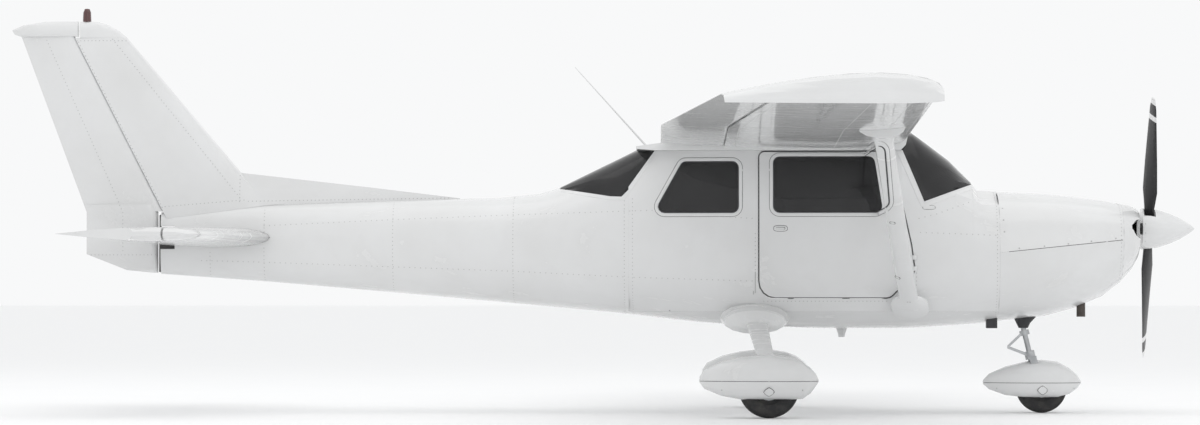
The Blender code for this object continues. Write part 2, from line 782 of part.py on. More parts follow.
def fore_section(chord, hinge, ratio, camber=0.0, swell=0.0, clear=CLEAR):
    """The fixed front of a section, as distance aft and height, with a hollow round the hinge."""
    share = hinge / chord
    radius = thickness_at(share, ratio) * chord
    centre = camber_at(share, camber) * chord
    hollow = radius + clear
    lip = hinge - math.sqrt(hollow * hollow - radius * radius)
    places = [lip * (1 - math.cos(math.pi / 2 * i / SURFACE_STEPS)) for i in range(SURFACE_STEPS + 1)]
    values = section_values(places, chord, ratio, camber, swell)
    upper = [(s, middle + half) for s, middle, half in values]
    lower = [(s, middle - half) for s, middle, half in values]
    upper[0] = lower[0] = (-swell, values[0][1])
    spread = math.acos((hinge - lip) / hollow)
    arc = [
        (hinge - hollow * math.cos(turn), centre + hollow * math.sin(turn))
        for turn in (-0.5 * spread, 0.0, 0.5 * spread)
    ]
    return list(reversed(upper)) + lower[1:] + arc


def aft_section(chord, hinge, ratio, camber=0.0):
    """The moving rear of a section, with a round nose about the hinge."""
    share = hinge / chord
    radius = thickness_at(share, ratio) * chord
    centre = camber_at(share, camber) * chord
    nose = []
    for i in range(NOSE_STEPS + 1):
        turn = math.pi / 2 + math.pi * i / NOSE_STEPS
        nose.append((hinge + radius * math.cos(turn), centre + radius * math.sin(turn)))
    places = [between(hinge, chord, 0.5), chord]
    values = section_values(places, chord, ratio, camber)
    lower = [(s, middle - half) for s, middle, half in values]
    upper = [(s, middle + half) for s, middle, half in reversed(values)]
    return nose + lower + upper


def whole_section(chord, ratio, camber=0.0, steps=8):
    """A whole section, from the upper trailing edge round the nose to the lower one."""
    places = [chord * (1 - math.cos(math.pi * i / steps)) / 2 for i in range(steps + 1)]
    values = section_values(places, chord, ratio, camber)
    upper = [(s, middle + half) for s, middle, half in reversed(values)]
    lower = [(s, middle - half) for s, middle, half in values[1:]]
    return upper + lower


def wing_at(y):
    """Leading edge x and z, trailing edge x and z of the wing at a distance y from the middle."""
    rows = (WING["root"], WING["break"], WING["tip"])
    for low, high in zip(rows, rows[1:]):
        if y <= high[0] or high is rows[-1]:
            share = (y - low[0]) / (high[0] - low[0])
            return [between(low[i], high[i], share) for i in (1, 3, 2, 4)]
    return None


def wing_point(y, spot):
    """Turns distance aft and height in the section at y into a place on the wing."""
    lead_x, lead_z, trail_x, trail_z = wing_at(y)
    chord = lead_x - trail_x
    aft, rise = spot
    return Vector((lead_x - aft, y, between(lead_z, trail_z, aft / chord) + rise))


def wing_chord(y):
    lead_x, _, trail_x, _ = wing_at(y)
    return lead_x - trail_x


def wing_hinge_point(y):
    chord = wing_chord(y)
    return wing_point(y, (WING_HINGE * chord, camber_at(WING_HINGE, WING_CAMBER) * chord))


def wing_ring(y, section):
    chord = wing_chord(y)
    return [wing_point(y, spot) for spot in section(chord, WING_HINGE * chord, WING_RATIO, WING_CAMBER)]


def wing_tip():
    """The wing tip's cap: whole sections that close and droop to a low outer edge."""
    rings = []
    for y, kept, drop, reach in TIP_SECTIONS:
        lead_x, lead_z, trail_x, trail_z = wing_at(y)
        chord = lead_x - trail_x
        ring = []
        for aft, rise in whole_section(chord, WING_RATIO, WING_CAMBER):
            base = between(lead_z, trail_z, aft / chord)
            low = max(TIP_LOW_Z, base - 0.09) + 0.004
            x = lead_x - between(chord / 2, aft, reach)
            ring.append(Vector((x, y, between(base, low, drop) + rise * kept)))
        rings.append(ring)
    return rings


def hinge_lug(name, noses, up):
    """A hinge bracket on a fixed part: a thin plate that ends just in front of the moving part's nose."""
    rings = []
    for nose in noses:
        near = nose + Vector((HINGE_PLAY, 0.0, 0.0))
        far = nose + Vector((LUG_LENGTH, 0.0, 0.0))
        rings.append([near - up, far - up, far + up, near + up])
    return loft(name, rings)


def wing_nose(y):
    radius = thickness_at(WING_HINGE, WING_RATIO) * wing_chord(abs(y))
    spot = wing_hinge_point(abs(y))
    return Vector((spot.x + radius, y, spot.z))


def make_wing():
    places = (ROOF_HALF + GAP, WING["break"][0], WING_END)
    main = loft("wing_left", [wing_ring(y, fore_section) for y in places], "white_paint")
    tip = loft("wing_tip_left_cutter", wing_tip())
    join(main, tip)
    other = mirrored("wing_right", main, "white_paint")
    join(other, mirrored("wing_tip_right_cutter", tip, None))
    for wing, side in ((main, 1), (other, -1)):
        for y in WING_LUGS:
            noses = [wing_nose(side * (y + step)) for step in (-LUG_HALF, LUG_HALF)]
            join(wing, hinge_lug(f"{wing.name}_{y}_lug_cutter", noses, Vector((0.0, 0.0, LUG_RISE))))
    spans = {"flap": (ROOF_HALF + END_GAP, FLAP_OUTER), "aileron": (AILERON_INNER, AILERON_OUTER)}
    for name, (inner, outer) in spans.items():
        rings = [wing_ring(y, aft_section) for y in (inner, outer)]
        piece = loft(name + "_left", rings, "white_paint")
        mirrored(name + "_right", piece, "white_paint")


def roof_outline():
    """Side view of the cabin roof: the wing root's upper surface, down to the rear window, flat below."""
    y = ROOF_HALF
    chord = wing_chord(y)
    steps = 10
    points = []
    for i in range(steps + 1):
        share = (1 - math.cos(math.pi * i / steps)) / 2 * 0.985
        half = thickness_at(share, WING_RATIO) * chord
        point = wing_point(y, (share * chord, camber_at(share, WING_CAMBER) * chord + half))
        points.append((point.x, point.z))
    rear = [(REAR_TOP_X, 1.822), (REAR_TOP_X, 1.804)]
    front = [(2.060, ROOF_UNDER), (2.092, 1.830)]
    return points + rear + [(0.380, ROOF_UNDER)] + front


def make_roof():
    outline = roof_outline()
    prism("cabin_roof", outline, -ROOF_HALF, ROOF_HALF, "white_paint")
    middle = Vector((1.2, 1.87))
    grown = [Vector(point) + (Vector(point) - middle).normalized() * GAP * 3 for point in outline]
    return prism("roof_cutter", grown, -ROOF_HALF - 0.1, ROOF_HALF + 0.1)


def post_high(x):
    """Upper edge of the cabin side: below the glass at both ends and below the roof between."""
    if x > WINDSCREEN_BASE[1][0]:
        return body_at(x)[3]
    if x > WINDSCREEN_POST[1][0]:
        return line_at(WINDSCREEN_BASE, x)
    if x > WINDSCREEN_POST[0][0]:
        return line_at(WINDSCREEN_POST, x)
    if x < REAR_POST[1][0]:
        return line_at(REAR_POST, x) if x > REAR_POST[0][0] else line_at(REAR_BASE, x)
    return ROOF_UNDER


def side_high(x):
    return min(post_high(x), ROOF_UNDER) - GAP


def make_cabin():
    xs = stations(TAIL_CONE_FRONT + GAP, FIREWALL_X - GAP, *SIDE_STATIONS)
    floor_xs = stations(TAIL_CONE_FRONT + GAP, FIREWALL_X - GAP)
    rings = []
    for x in floor_xs:
        edge = angle_at(x, FLOOR_TOP - GAP)
        rings.append(under_arc(x, edge))
    floor = loft("belly_floor", rings, "white_paint")
    for name, low, high in FLOOR_PLATES:
        depth = FLOOR_TOP - GAP - PLATE_DEPTH
        cut(floor, box(name + "_plate_cutter", (*low, depth), (*high, FLOOR_TOP + PLATE_ROOM)))
    for side, name in ((1, "left"), (-1, "right")):
        panel = side_panel(
            "cabin_side_" + name, xs, level(FLOOR_TOP), side_high, "white_paint", SIDE_WALL, side=side
        )
        outline = rounded(DOOR_OUTLINE, DOOR_RADII, DOOR_CLEAR)
        frame = prism(f"door_frame_{name}_cutter", outline, *side_span(side))
        quarter = window_cutter(f"quarter_{name}_cutter", QUARTER_WINDOW, side, 0.0)
        cut(panel, frame, quarter)
        make_pane("quarter_window_" + name, QUARTER_PANE_SHEET, QUARTER_WINDOW, side)
        make_door(name, side)
    make_baggage_door()


def make_pane(name, sheet, window, side):
    """A flat-edged sheet of glass in the side, trimmed to its window."""
    xs, (low, high) = sheet
    pane = side_panel(
        name, stations(*xs), level(low), level(high), "tinted_glass", GLASS, GLASS_INSET, PANE_ROWS, side
    )
    boolean(pane, window_cutter(name + "_pane_cutter", window, side, -GAP), "INTERSECT")


def make_door(name, side):
    xs, (low, high) = DOOR_SHEET
    door = side_panel(
        "door_" + name, stations(*xs), level(low), level(high), "white_paint", DOOR_WALL, side=side
    )
    outline = rounded(DOOR_OUTLINE, DOOR_RADII)
    boolean(door, prism(f"door_{name}_cutter", outline, *side_span(side)), "INTERSECT")
    cut(door, window_cutter(f"door_glass_hole_{name}_cutter", DOOR_WINDOW, side, 0.0))
    make_pane("door_window_" + name, DOOR_PANE_SHEET, DOOR_WINDOW, side)
    frame = bpy.data.objects["cabin_side_" + name]
    add_knuckles(door, frame, DOOR_HINGE, DOOR_KNUCKLES, DOOR_KNUCKLE_RADIUS, side)


def add_knuckles(door, frame, axis, heights, radius, side=1):
    """Hinge knuckles on the door's edge, which turn in round seats in the frame."""
    x, y = axis
    for low, high in heights:
        label = f"{door.name}_{low}"
        pin = rod(label + "_knuckle_cutter", (x, side * y, low), (x, side * y, high), radius)
        seat_low = (x, side * y, low - HINGE_PLAY)
        seat_high = (x, side * y, high + HINGE_PLAY)
        seat = rod(label + "_seat_cutter", seat_low, seat_high, radius + HINGE_PLAY, sides=24)
        join(door, pin)
        cut(frame, seat)


def make_baggage_door():
    """The luggage door behind the port door."""
    radii = [BAGGAGE_RADIUS] * len(BAGGAGE_DOOR)
    side = bpy.data.objects["cabin_side_left"]
    cut(side, prism("baggage_frame_cutter", rounded(BAGGAGE_DOOR, radii, DOOR_CLEAR), *SIDE_REACH))
    xs, (low, high) = BAGGAGE_SHEET
    door = side_panel("baggage_door", stations(*xs), level(low), level(high), "white_paint", SIDE_WALL)
    boolean(door, prism("baggage_door_cutter", rounded(BAGGAGE_DOOR, radii), *SIDE_REACH), "INTERSECT")
    add_knuckles(door, side, BAGGAGE_HINGE, BAGGAGE_KNUCKLES, BAGGAGE_KNUCKLE_RADIUS)


def windscreen_edge(x):
    return max(post_high(x), WINDSCREEN_POST[1][1]) + SEAL


def rear_window_edge(x):
    tuck = GLASS_TUCK if x < TAIL_CONE_FRONT else 0.0
    return post_high(x) + SEAL - tuck


def make_glass(roof_cutter):
    front_xs = stations(WINDSCREEN_POST[0][0] - 0.05, WINDSCREEN_BASE[1][0], WINDSCREEN_POST[0][0])
    screen = arc_panel("windscreen", front_xs, windscreen_edge, "tinted_glass", GLASS, columns=10)
    cut(screen, roof_cutter)
    low_post, high_post = REAR_POST[0][0], REAR_POST[1][0]
    rear_xs = stations(REAR_BASE[0][0], high_post + 0.02, low_post, TAIL_CONE_FRONT, high_post)
    rear = arc_panel("rear_window", rear_xs, rear_window_edge, "tinted_glass", GLASS, columns=10)
    above = box("rear_top_cutter", (REAR_TOP_X - GAP, -0.6, 1.800), (0.6, 0.6, 2.1))
    pane = [(x, z + SEAL) for x, z in REAR_BASE]
    pane[0] = (pane[0][0] + SEAL, pane[0][1])
    corner = line_at(REAR_POST, TAIL_CONE_FRONT) + SEAL
    pane += [(TAIL_CONE_FRONT, corner), (TAIL_CONE_FRONT, 1.0), (0.6, 1.0), (0.6, 2.0), (pane[0][0], 2.0)]
    boolean(rear, prism("rear_pane_cutter", pane, -0.6, 0.6), "INTERSECT")
    cut(rear, roof_cutter, above)


def make_tail_cone():
    xs = stations(TAIL_END, TAIL_CONE_FRONT)
    outer = [body_ring(x) for x in xs]
    inner = [body_ring(x, SKIN) for x in xs]
    cone = shell("tail_cone", outer, inner, "white_paint", wraps=True)
    front = TAIL_CONE_FRONT + 0.02
    rear = REAR_BASE[0][0] - REAR_GLASS_ROOM
    window = [*REAR_BASE, (front, REAR_CORNER_Z), (front, REAR_CUT_TOP), (rear, REAR_CUT_TOP)]
    cut(cone, prism("rear_window_cutter", window, -0.6, 0.6))
    return cone


def cowl_split(x):
    """Height of the line between the cowlings, which rises forward."""
    base, slope, start = COWL_SPLIT
    return base + slope * (x - start)


def upper_cowl_edge(x):
    return cowl_split(x) + GAP


def make_nose():
    shell_slot = "white_paint"
    bowl_xs = stations(NOSE_BOWL_X + GAP, NOSE_END)
    bowl = loft("nose_bowl", [body_ring(x) for x in bowl_xs], shell_slot)
    hollow_xs = stations(NOSE_BOWL_X - 0.02, 3.690)
    hollow = loft("nose_hollow_cutter", [body_ring(x, 0.012) for x in hollow_xs])
    cut(bowl, hollow)
    y, z, half_width, half_height = INLET
    for side in (-1, 1):
        outline = []
        for i in range(16):
            turn = 2 * math.pi * i / 16
            outline.append((side * y + half_width * math.cos(turn), z + half_height * math.sin(turn)))
        rings = [[(x, point[0], point[1]) for point in outline] for x in (3.55, 3.80)]
        cut(bowl, loft(f"inlet_{side}_cutter", rings))
    cut(bowl, rod("shaft_hole_cutter", (3.5, 0, SHAFT_Z), (3.8, 0, SHAFT_Z), SHAFT_RADIUS + 0.012))
    cowl_xs = stations(FIREWALL_X + GAP, NOSE_BOWL_X)
    arc_panel("cowl_upper", cowl_xs, upper_cowl_edge, shell_slot, SKIN, columns=10)
    lower = arc_panel("cowl_lower", cowl_xs, cowl_split, shell_slot, SKIN, columns=12, lower=True)
    x, y, radius, low, high = EXHAUST
    cut(lower, rod("exhaust_hole_cutter", (x, y, low - 0.1), (x, y, high + 0.1), radius + GAP))
    pipe = rod("exhaust", (x, y, low), (x, y, high), radius, "exhaust_metal")
    cut(pipe, rod("exhaust_bore_cutter", (x, y, low - 0.05), (x, y, low + 0.10), radius * 0.86))
    (rear, front), half, (under, top) = ENGINE
    box("engine_block", (rear, -half, under), (front, half, top), "engine_metal", 0.02)


def make_firewall():
    x = FIREWALL_X - GAP
    rings = [cabin_ring(at, SIDE_WALL + WALL_ROOM) for at in (x - FIREWALL_THICK, x)]
    loft("firewall", rings, "grey_metal")


def make_bulkhead():
    x = TAIL_CONE_FRONT + GAP
    rings = [cabin_ring(at, SIDE_WALL + WALL_ROOM) for at in (x, x + BULKHEAD_THICK)]
    wall = loft("baggage_bulkhead", rings, "dark_trim")
    cut(wall, box("bulkhead_top_cutter", (0.1, -1, BULKHEAD_TOP), (0.3, 1, 2.2)))


def strut_ring(share, chord, thickness, side):
    centre = [between(a, b, share) for a, b in zip(STRUT_LOW, STRUT_TOP)]
    ring = []
    for i in range(14):
        turn = 2 * math.pi * i / 14
        x = centre[1] + chord / 2 * math.cos(turn)
        z = centre[2] + thickness / 2 * math.sin(turn)
        ring.append(Vector((x, side * centre[0], z)))
    return ring


def make_struts(skin_grown):
    for side, name in ((1, "left"), (-1, "right")):
        rings = [strut_ring(*row, side) for row in STRUT_SECTIONS]
        strut = loft("strut_" + name, rings, "white_paint")
        under = loft(
            f"wing_under_{name}_cutter",
            [
                [Vector((p.x, side * p.y, p.z)) for p in grown_wing_ring(y)]
                for y in (2.0, 2.556, 3.2)
            ],
        )
        cut(strut, skin_grown, under)


def grown_wing_ring(y):
    chord = wing_chord(y)
    spots = fore_section(chord, WING_HINGE * chord, WING_RATIO, WING_CAMBER, GAP)
    return [wing_point(y, spot) for spot in spots]


def tail_at(y):
    """Leading and trailing edge x and the thickness ratio of the tailplane at half span y."""
    share = min(y / TAIL_OUTER[0], 1.0)
    lead = between(TAIL_ROOT[1], TAIL_OUTER[1], share)
    trail = between(TAIL_ROOT[2], TAIL_OUTER[2], share)
    if y > TAIL_OUTER[0]:
        share = (y - TAIL_OUTER[0]) / (TAIL_TIP[0] - TAIL_OUTER[0])
        lead = between(TAIL_OUTER[1], TAIL_TIP[1], share)
        trail = between(TAIL_OUTER[2], TAIL_TIP[2], share)
    return lead, trail, between(TAIL_ROOT_RATIO, TAIL_TIP_RATIO, min(y / TAIL_TIP[0], 1.0))


def tail_ring(y, section, swell=None):
    lead, trail, ratio = tail_at(abs(y))
    spots = section(lead - trail, lead - TAIL_HINGE_X, ratio) if swell is None else section(
        lead - trail, lead - TAIL_HINGE_X, ratio, 0.0, swell
    )
    return [Vector((lead - aft, y, TAIL_Z + rise)) for aft, rise in spots]


def tail_block(name, low_y, high_y, front, rear, slot=None):
    """A slice of the tailplane's whole section between two x places, for the tips."""
    rings = []
    for share, kept, reach in TAIL_TIP_SECTIONS:
        y = between(low_y, high_y, share)
        lead, trail, ratio = tail_at(abs(y))
        chord = lead - trail
        spots = [(between(chord / 2, aft, reach), rise * kept) for aft, rise in whole_section(chord, ratio)]
        rings.append([Vector((lead - aft, y, TAIL_Z + rise)) for aft, rise in spots])
    piece = loft(name, rings, slot)
    low, high = sorted((front, rear))
    keep = box(name + "_keep", (low, min(low_y, high_y) - 0.1, 0.9), (high, max(low_y, high_y) + 0.1, 1.5))
    return boolean(piece, keep, "INTERSECT")


def make_tailplane(cone):
    outer = TAIL_OUTER[0]
    plane = loft("tailplane", [tail_ring(y, fore_section) for y in (-outer, 0.0, outer)], "white_paint")
    grown = loft("tailplane_cutter", [tail_ring(y, fore_section, GAP) for y in (-0.5, 0.0, 0.5)])
    slot = box("torque_tube_cutter", (-3.10, -0.3, TAIL_Z - 0.080), (-2.95, 0.3, TAIL_Z + 0.080))
    cut(cone, grown, slot)
    ends = [(TAIL_HINGE_X, y, TAIL_Z) for y in (-TORQUE_TUBE_HALF, TORQUE_TUBE_HALF)]
    elevator = rod("elevator", *ends, TORQUE_TUBE_RADIUS, "white_paint", sides=12)
    for side, name in ((1, "left"), (-1, "right")):
        tip_rear = HORN_FRONT_X + HORN_GAP
        tip = tail_block(f"tail_tip_{name}_cutter", side * (outer - 0.02), side * TAIL_TIP[0], -2.5, tip_rear)
        join(plane, tip)
        rings = [tail_ring(side * y, aft_section) for y in (ELEVATOR_INNER, outer + END_GAP, TAIL_TIP[0])]
        half = loft(f"elevator_{name}_cutter", rings)
        horn_span = (side * (outer + END_GAP), side * TAIL_TIP[0])
        horn = tail_block(f"elevator_horn_{name}_cutter", *horn_span, HORN_FRONT_X, TAIL_HINGE_X - 0.02)
        join(elevator, half, horn)
        outline = [(-3.085, 0.0), (-3.085, 0.100), (-3.60, 0.262), (-3.60, 0.0)]
        wedge = [[(x, side * y, z) for x, y in outline] for z in (0.9, 1.5)]
        cut(elevator, loft(f"rudder_room_{name}_cutter", wedge))
    make_tab(elevator)
    for y in TAIL_LUGS:
        noses = [tail_nose(y + step) for step in (-LUG_HALF, LUG_HALF)]
        join(plane, hinge_lug(f"tailplane_{y}_lug_cutter", noses, Vector((0.0, 0.0, LUG_RISE))))


def tail_nose(y):
    """The front of the elevator's round nose at y."""
    lead, trail, ratio = tail_at(abs(y))
    radius = thickness_at((lead - TAIL_HINGE_X) / (lead - trail), ratio) * (lead - trail)
    return Vector((TAIL_HINGE_X + radius, y, TAIL_Z))


def tab_hinge():
    middle = sum(TAB_SPAN) / 2
    return Vector((tail_at(middle)[1] + TAB_CHORD, -middle, TAIL_Z))


def make_tab(elevator):
    """The trim tab in the starboard half's trailing edge."""
    inner, outer = TAB_SPAN
    lead, trail, ratio = tail_at((inner + outer) / 2)
    chord = lead - trail
    front = tab_hinge().x
    half = thickness_at((lead - front) / chord, ratio) * chord
    notch = box("tab_notch_cutter", (-3.60, -outer - 0.006, 1.1), (front + half + 0.006, -inner + 0.006, 1.3))
    cut(elevator, notch)
    rings = []
    for y in (-inner, -outer):
        edge = tail_at(abs(y))[1]
        nose = []
        for i in range(NOSE_STEPS + 1):
            turn = math.pi / 2 + math.pi * i / NOSE_STEPS
            nose.append(Vector((front - half * math.cos(turn), y, TAIL_Z + half * math.sin(turn))))
        rings.append([*nose, Vector((edge, y, TAIL_Z - 0.0014)), Vector((edge, y, TAIL_Z + 0.0014))])
    loft("elevator_tab", rings, "white_paint")
    for y in TAB_LUGS:
        noses = [Vector((front + half, y + step, TAIL_Z)) for step in (-LUG_HALF, LUG_HALF)]
        join(elevator, hinge_lug(f"elevator_{y}_lug_cutter", noses, Vector((0.0, 0.0, LUG_RISE / 2))))


def fin_at(z):
    share = (z - FIN_LOW[0]) / (FIN_TOP[0] - FIN_LOW[0])
    return [between(FIN_LOW[i], FIN_TOP[i], share) for i in (1, 2, 3)]


def fin_ring(z, section):
    lead, hinge, trail = fin_at(z)
    return [Vector((lead - aft, side, z)) for aft, side in section(lead - trail, lead - hinge, FIN_RATIO)]


def fin_nose(z):
    """The front of the rudder's round nose at z, with a little room for its slanted hinge."""
    lead, hinge, trail = fin_at(z)
    radius = thickness_at((lead - hinge) / (lead - trail), FIN_RATIO) * (lead - trail)
    return Vector((hinge + radius + GAP, 0.0, z))


def block_ring(z, front, rear, half, points=12):
    """A flat-sided section with a round front and a thin rear, for caps and the rudder's foot."""
    ring = []
    radius = min(half, (front - rear) / 3)
    for i in range(points - 3):
        turn = math.pi / 2 - math.pi * i / (points - 4)
        ring.append(Vector((front - radius + radius * math.cos(turn), half * math.sin(turn), z)))
    middle = between(front, rear, 0.55)
    ring.append(Vector((middle, -half * 0.8, z)))
    ring.append(Vector((rear, -0.003, z)))
    ring.append(Vector((rear, 0.003, z)))
    ring.append(Vector((middle, half * 0.8, z)))
    return ring


def cap_ring(z, front, rear, half, blunt_front):
    """A section of the fin's or rudder's cap, blunt where the two meet and thin at the other end."""
    blunt, thin = (front, rear) if blunt_front else (rear, front)
    shares = (0.0, 0.35, 0.7, 0.92, 1.0)
    widths = (1.0, 1.0, 0.75, 0.4, 0.1)
    one = [(between(blunt, thin, share), half * width) for share, width in zip(shares, widths)]
    return [Vector((x, y, z)) for x, y in one] + [Vector((x, -y, z)) for x, y in reversed(one)]


def make_fin(body_grown):
    heights = (1.34, 1.50, 1.80, 2.20, 2.600)
    fin = loft("fin", [fin_ring(z, fore_section) for z in heights], "white_paint")
    rings = []
    for x, ridge, half in DORSAL:
        foot = body_at(x)[3] - 0.06
        corners = ((half, foot), (RIDGE_HALF, ridge), (-RIDGE_HALF, ridge), (-half, foot))
        rings.append([Vector((x, y, z)) for y, z in corners])
    x = DORSAL[-1][0]
    dorsal = loft("dorsal_cutter", rings + [[Vector((x - 0.10, p.y, p.z)) for p in rings[-1]]])
    join(fin, dorsal)
    cut(fin, body_grown)
    for z in FIN_LUGS:
        noses = [fin_nose(z + step) for step in (-LUG_HALF, LUG_HALF)]
        join(fin, hinge_lug(f"fin_{z}_lug_cutter", noses, Vector((0.0, LUG_RISE, 0.0))))
    loft("fin_cap", [cap_ring(*row, False) for row in FIN_CAP], "white_paint")
    heights = (1.392, 1.80, 2.20, 2.660)
    rudder = loft("rudder", [fin_ring(z, aft_section) for z in heights], "white_paint")
    foot = loft("rudder_foot_cutter", [block_ring(*row) for row in (*RUDDER_FOOT, RUDDER_FOOT_TOP)])
    cap = loft("rudder_cap_cutter", [cap_ring(*row, True) for row in RUDDER_CAP])
    join(rudder, foot, cap)
    x, base_z, radius = BEACON
    profile = [(radius * width, height) for width, height in BEACON_CURVE]
    turned("beacon", profile, (x, 0.0, base_z), (0, 0, 1), "beacon_lens", 12)


def pod_ring(wheel, row, part_z, side):
    offset, half, top, bottom = row
    ring = []
    for i in range(POD_POINTS):
        turn = 2 * math.pi * i / POD_POINTS
        rise = math.sin(turn)
        height = top - part_z if rise > 0 else part_z - bottom
        power = 2 / (POD_UPPER_POWER if rise > 0 else POD_LOWER_POWER)
        y = math.copysign(abs(math.cos(turn)) ** power, math.cos(turn)) * half
        z = part_z + math.copysign(abs(rise) ** power, rise) * height
        ring.append(Vector((wheel[0] + offset, side * wheel[1] + y, z)))
    return ring


def make_pod(name, wheel, rows, part_z, side, well_room):
    """A wheel fairing with a well that is the tyre's own shape, grown by its room."""
    pod = loft(name, [pod_ring(wheel, row, part_z, side) for row in rows], "white_paint")
    x, y, radius, half, _ = wheel
    round_room, side_room = well_room
    port = [(radius * share + round_room, half * width + side_room) for share, width in WELL_SHAPE]
    port.append((0.0, half + side_room))
    profile = list(reversed(port)) + [(reach, -across) for reach, across in port]
    return cut(pod, turned(name + "_well_cutter", profile, (x, side * y, radius), (0, 1, 0)))


def make_wheel(name, wheel, side):
    """A tyre and its rim, which turn on the axle."""
    x, y, radius, half, rim = wheel
    centre = (x, side * y, radius)
    tyre = []
    for share, width in TYRE_SHAPE:
        tyre.append((max(radius * share, rim + GAP), half * width))
    tyre[-1] = (rim + GAP, half * 0.80)
    profile = list(reversed(tyre)) + [(r, -w) for r, w in tyre[1:]]
    turned(name + "_tyre", profile, centre, (0, 1, 0), "tyre_rubber", TYRE_STEPS, closed=True)
    bore = AXLE_RADIUS + 0.0006
    lip = half * 0.78
    web = half * 0.35
    outer = [(bore, web), (rim * 0.84, web), (rim * 0.90, lip), (rim, lip)]
    profile = outer + [(r, -w) for r, w in reversed(outer)]
    turned(name + "_rim", profile, centre, (0, 1, 0), "grey_metal", TYRE_STEPS, closed=True)


def leg_rings(side, grow=0.0):
    rings = []
    count = len(MAIN_LEG)
    for i, (y, z, x, chord, thickness) in enumerate(MAIN_LEG):
        chord += 2 * grow
        thickness += 2 * grow
        before = MAIN_LEG[max(i - 1, 0)]
        after = MAIN_LEG[min(i + 1, count - 1)]
        run = Vector((after[0] - before[0], after[1] - before[1])).normalized()
        across = Vector((-run.y, run.x))
        ring = []
        for k in range(12):
            turn = 2 * math.pi * k / 12
            out = across * (thickness / 2 * math.copysign(abs(math.sin(turn)) ** 0.6, math.sin(turn)))
            along = chord / 2 * math.copysign(abs(math.cos(turn)) ** 0.8, math.cos(turn))
            ring.append(Vector((x + along, side * (y + out.x), z + out.y)))
        rings.append(ring)
    return rings


def make_main_gear(skin_grown):
    x, y, radius, half, _ = MAIN_WHEEL
    for side, name in ((1, "left"), (-1, "right")):
        leg = loft("main_leg_" + name, leg_rings(side), "leg_paint")
        rings = []
        for disc_y, disc_z, along, across in LEG_DISC:
            ring = []
            for k in range(16):
                turn = 2 * math.pi * k / 16
                disc_x = LEG_DISC_X + along * math.cos(turn)
                ring.append(Vector((disc_x, side * disc_y, disc_z + across * math.sin(turn))))
            rings.append(ring)
        disc = loft(f"leg_disc_{name}_cutter", rings)
        axle_end = (x, side * (y + half * 0.9), radius)
        axle = rod(f"axle_{name}_cutter", (x, side * AXLE_INNER, radius), axle_end, AXLE_RADIUS)
        join(leg, disc, axle)
        cut(leg, skin_grown)
        pod = make_pod("main_fairing_" + name, MAIN_WHEEL, MAIN_POD, MAIN_PART_Z, side, MAIN_WELL_ROOM)
        room = loft(f"leg_room_{name}_cutter", grown_leg(side))
        room_ends = [(x, side * reach, radius) for reach in AXLE_ROOM]
        axle_room = rod(f"axle_room_{name}_cutter", *room_ends, AXLE_RADIUS + SEAL)
        cut(pod, room, axle_room)
        make_wheel("main_" + name, MAIN_WHEEL, side)


def grown_leg(side):
    """The leg's own space in the fairing, a little larger than the leg."""
    rings = leg_rings(side, SEAL)[3:]
    return rings + [[point - Vector((0, 0, SEAL)) for point in rings[-1]]]


def leg_x(z):
    """x of the nose leg's middle line at height z."""
    top_x, top_z = NOSE_LEG_TOP
    low_x, low_z = NOSE_LEG_LOW
    return between(low_x, top_x, (z - low_z) / (top_z - low_z))


def leg_spot(z):
    """The point of the nose leg's middle line at height z."""
    return Vector((leg_x(z), 0, z))


def fork_blade(name, side, grow):
    """One side of the nose fork, from the bridge down to the axle."""
    x, _, radius, _, _ = NOSE_WHEEL
    top_z, top_aft, top_fore = FORK_TOP
    foot_z = radius - FORK_FOOT
    outline = (
        (top_aft - grow, top_z + grow),
        (top_fore + grow, top_z + grow),
        (x + FORK_FOOT_HALF + grow, foot_z - grow),
        (x - FORK_FOOT_HALF - grow, foot_z - grow),
    )
    faces = (NOSE_FORK_HALF - grow, NOSE_FORK_HALF + FORK_THICK + grow)
    return loft(name, [[(px, side * y, pz) for px, pz in outline] for y in faces], None, None)


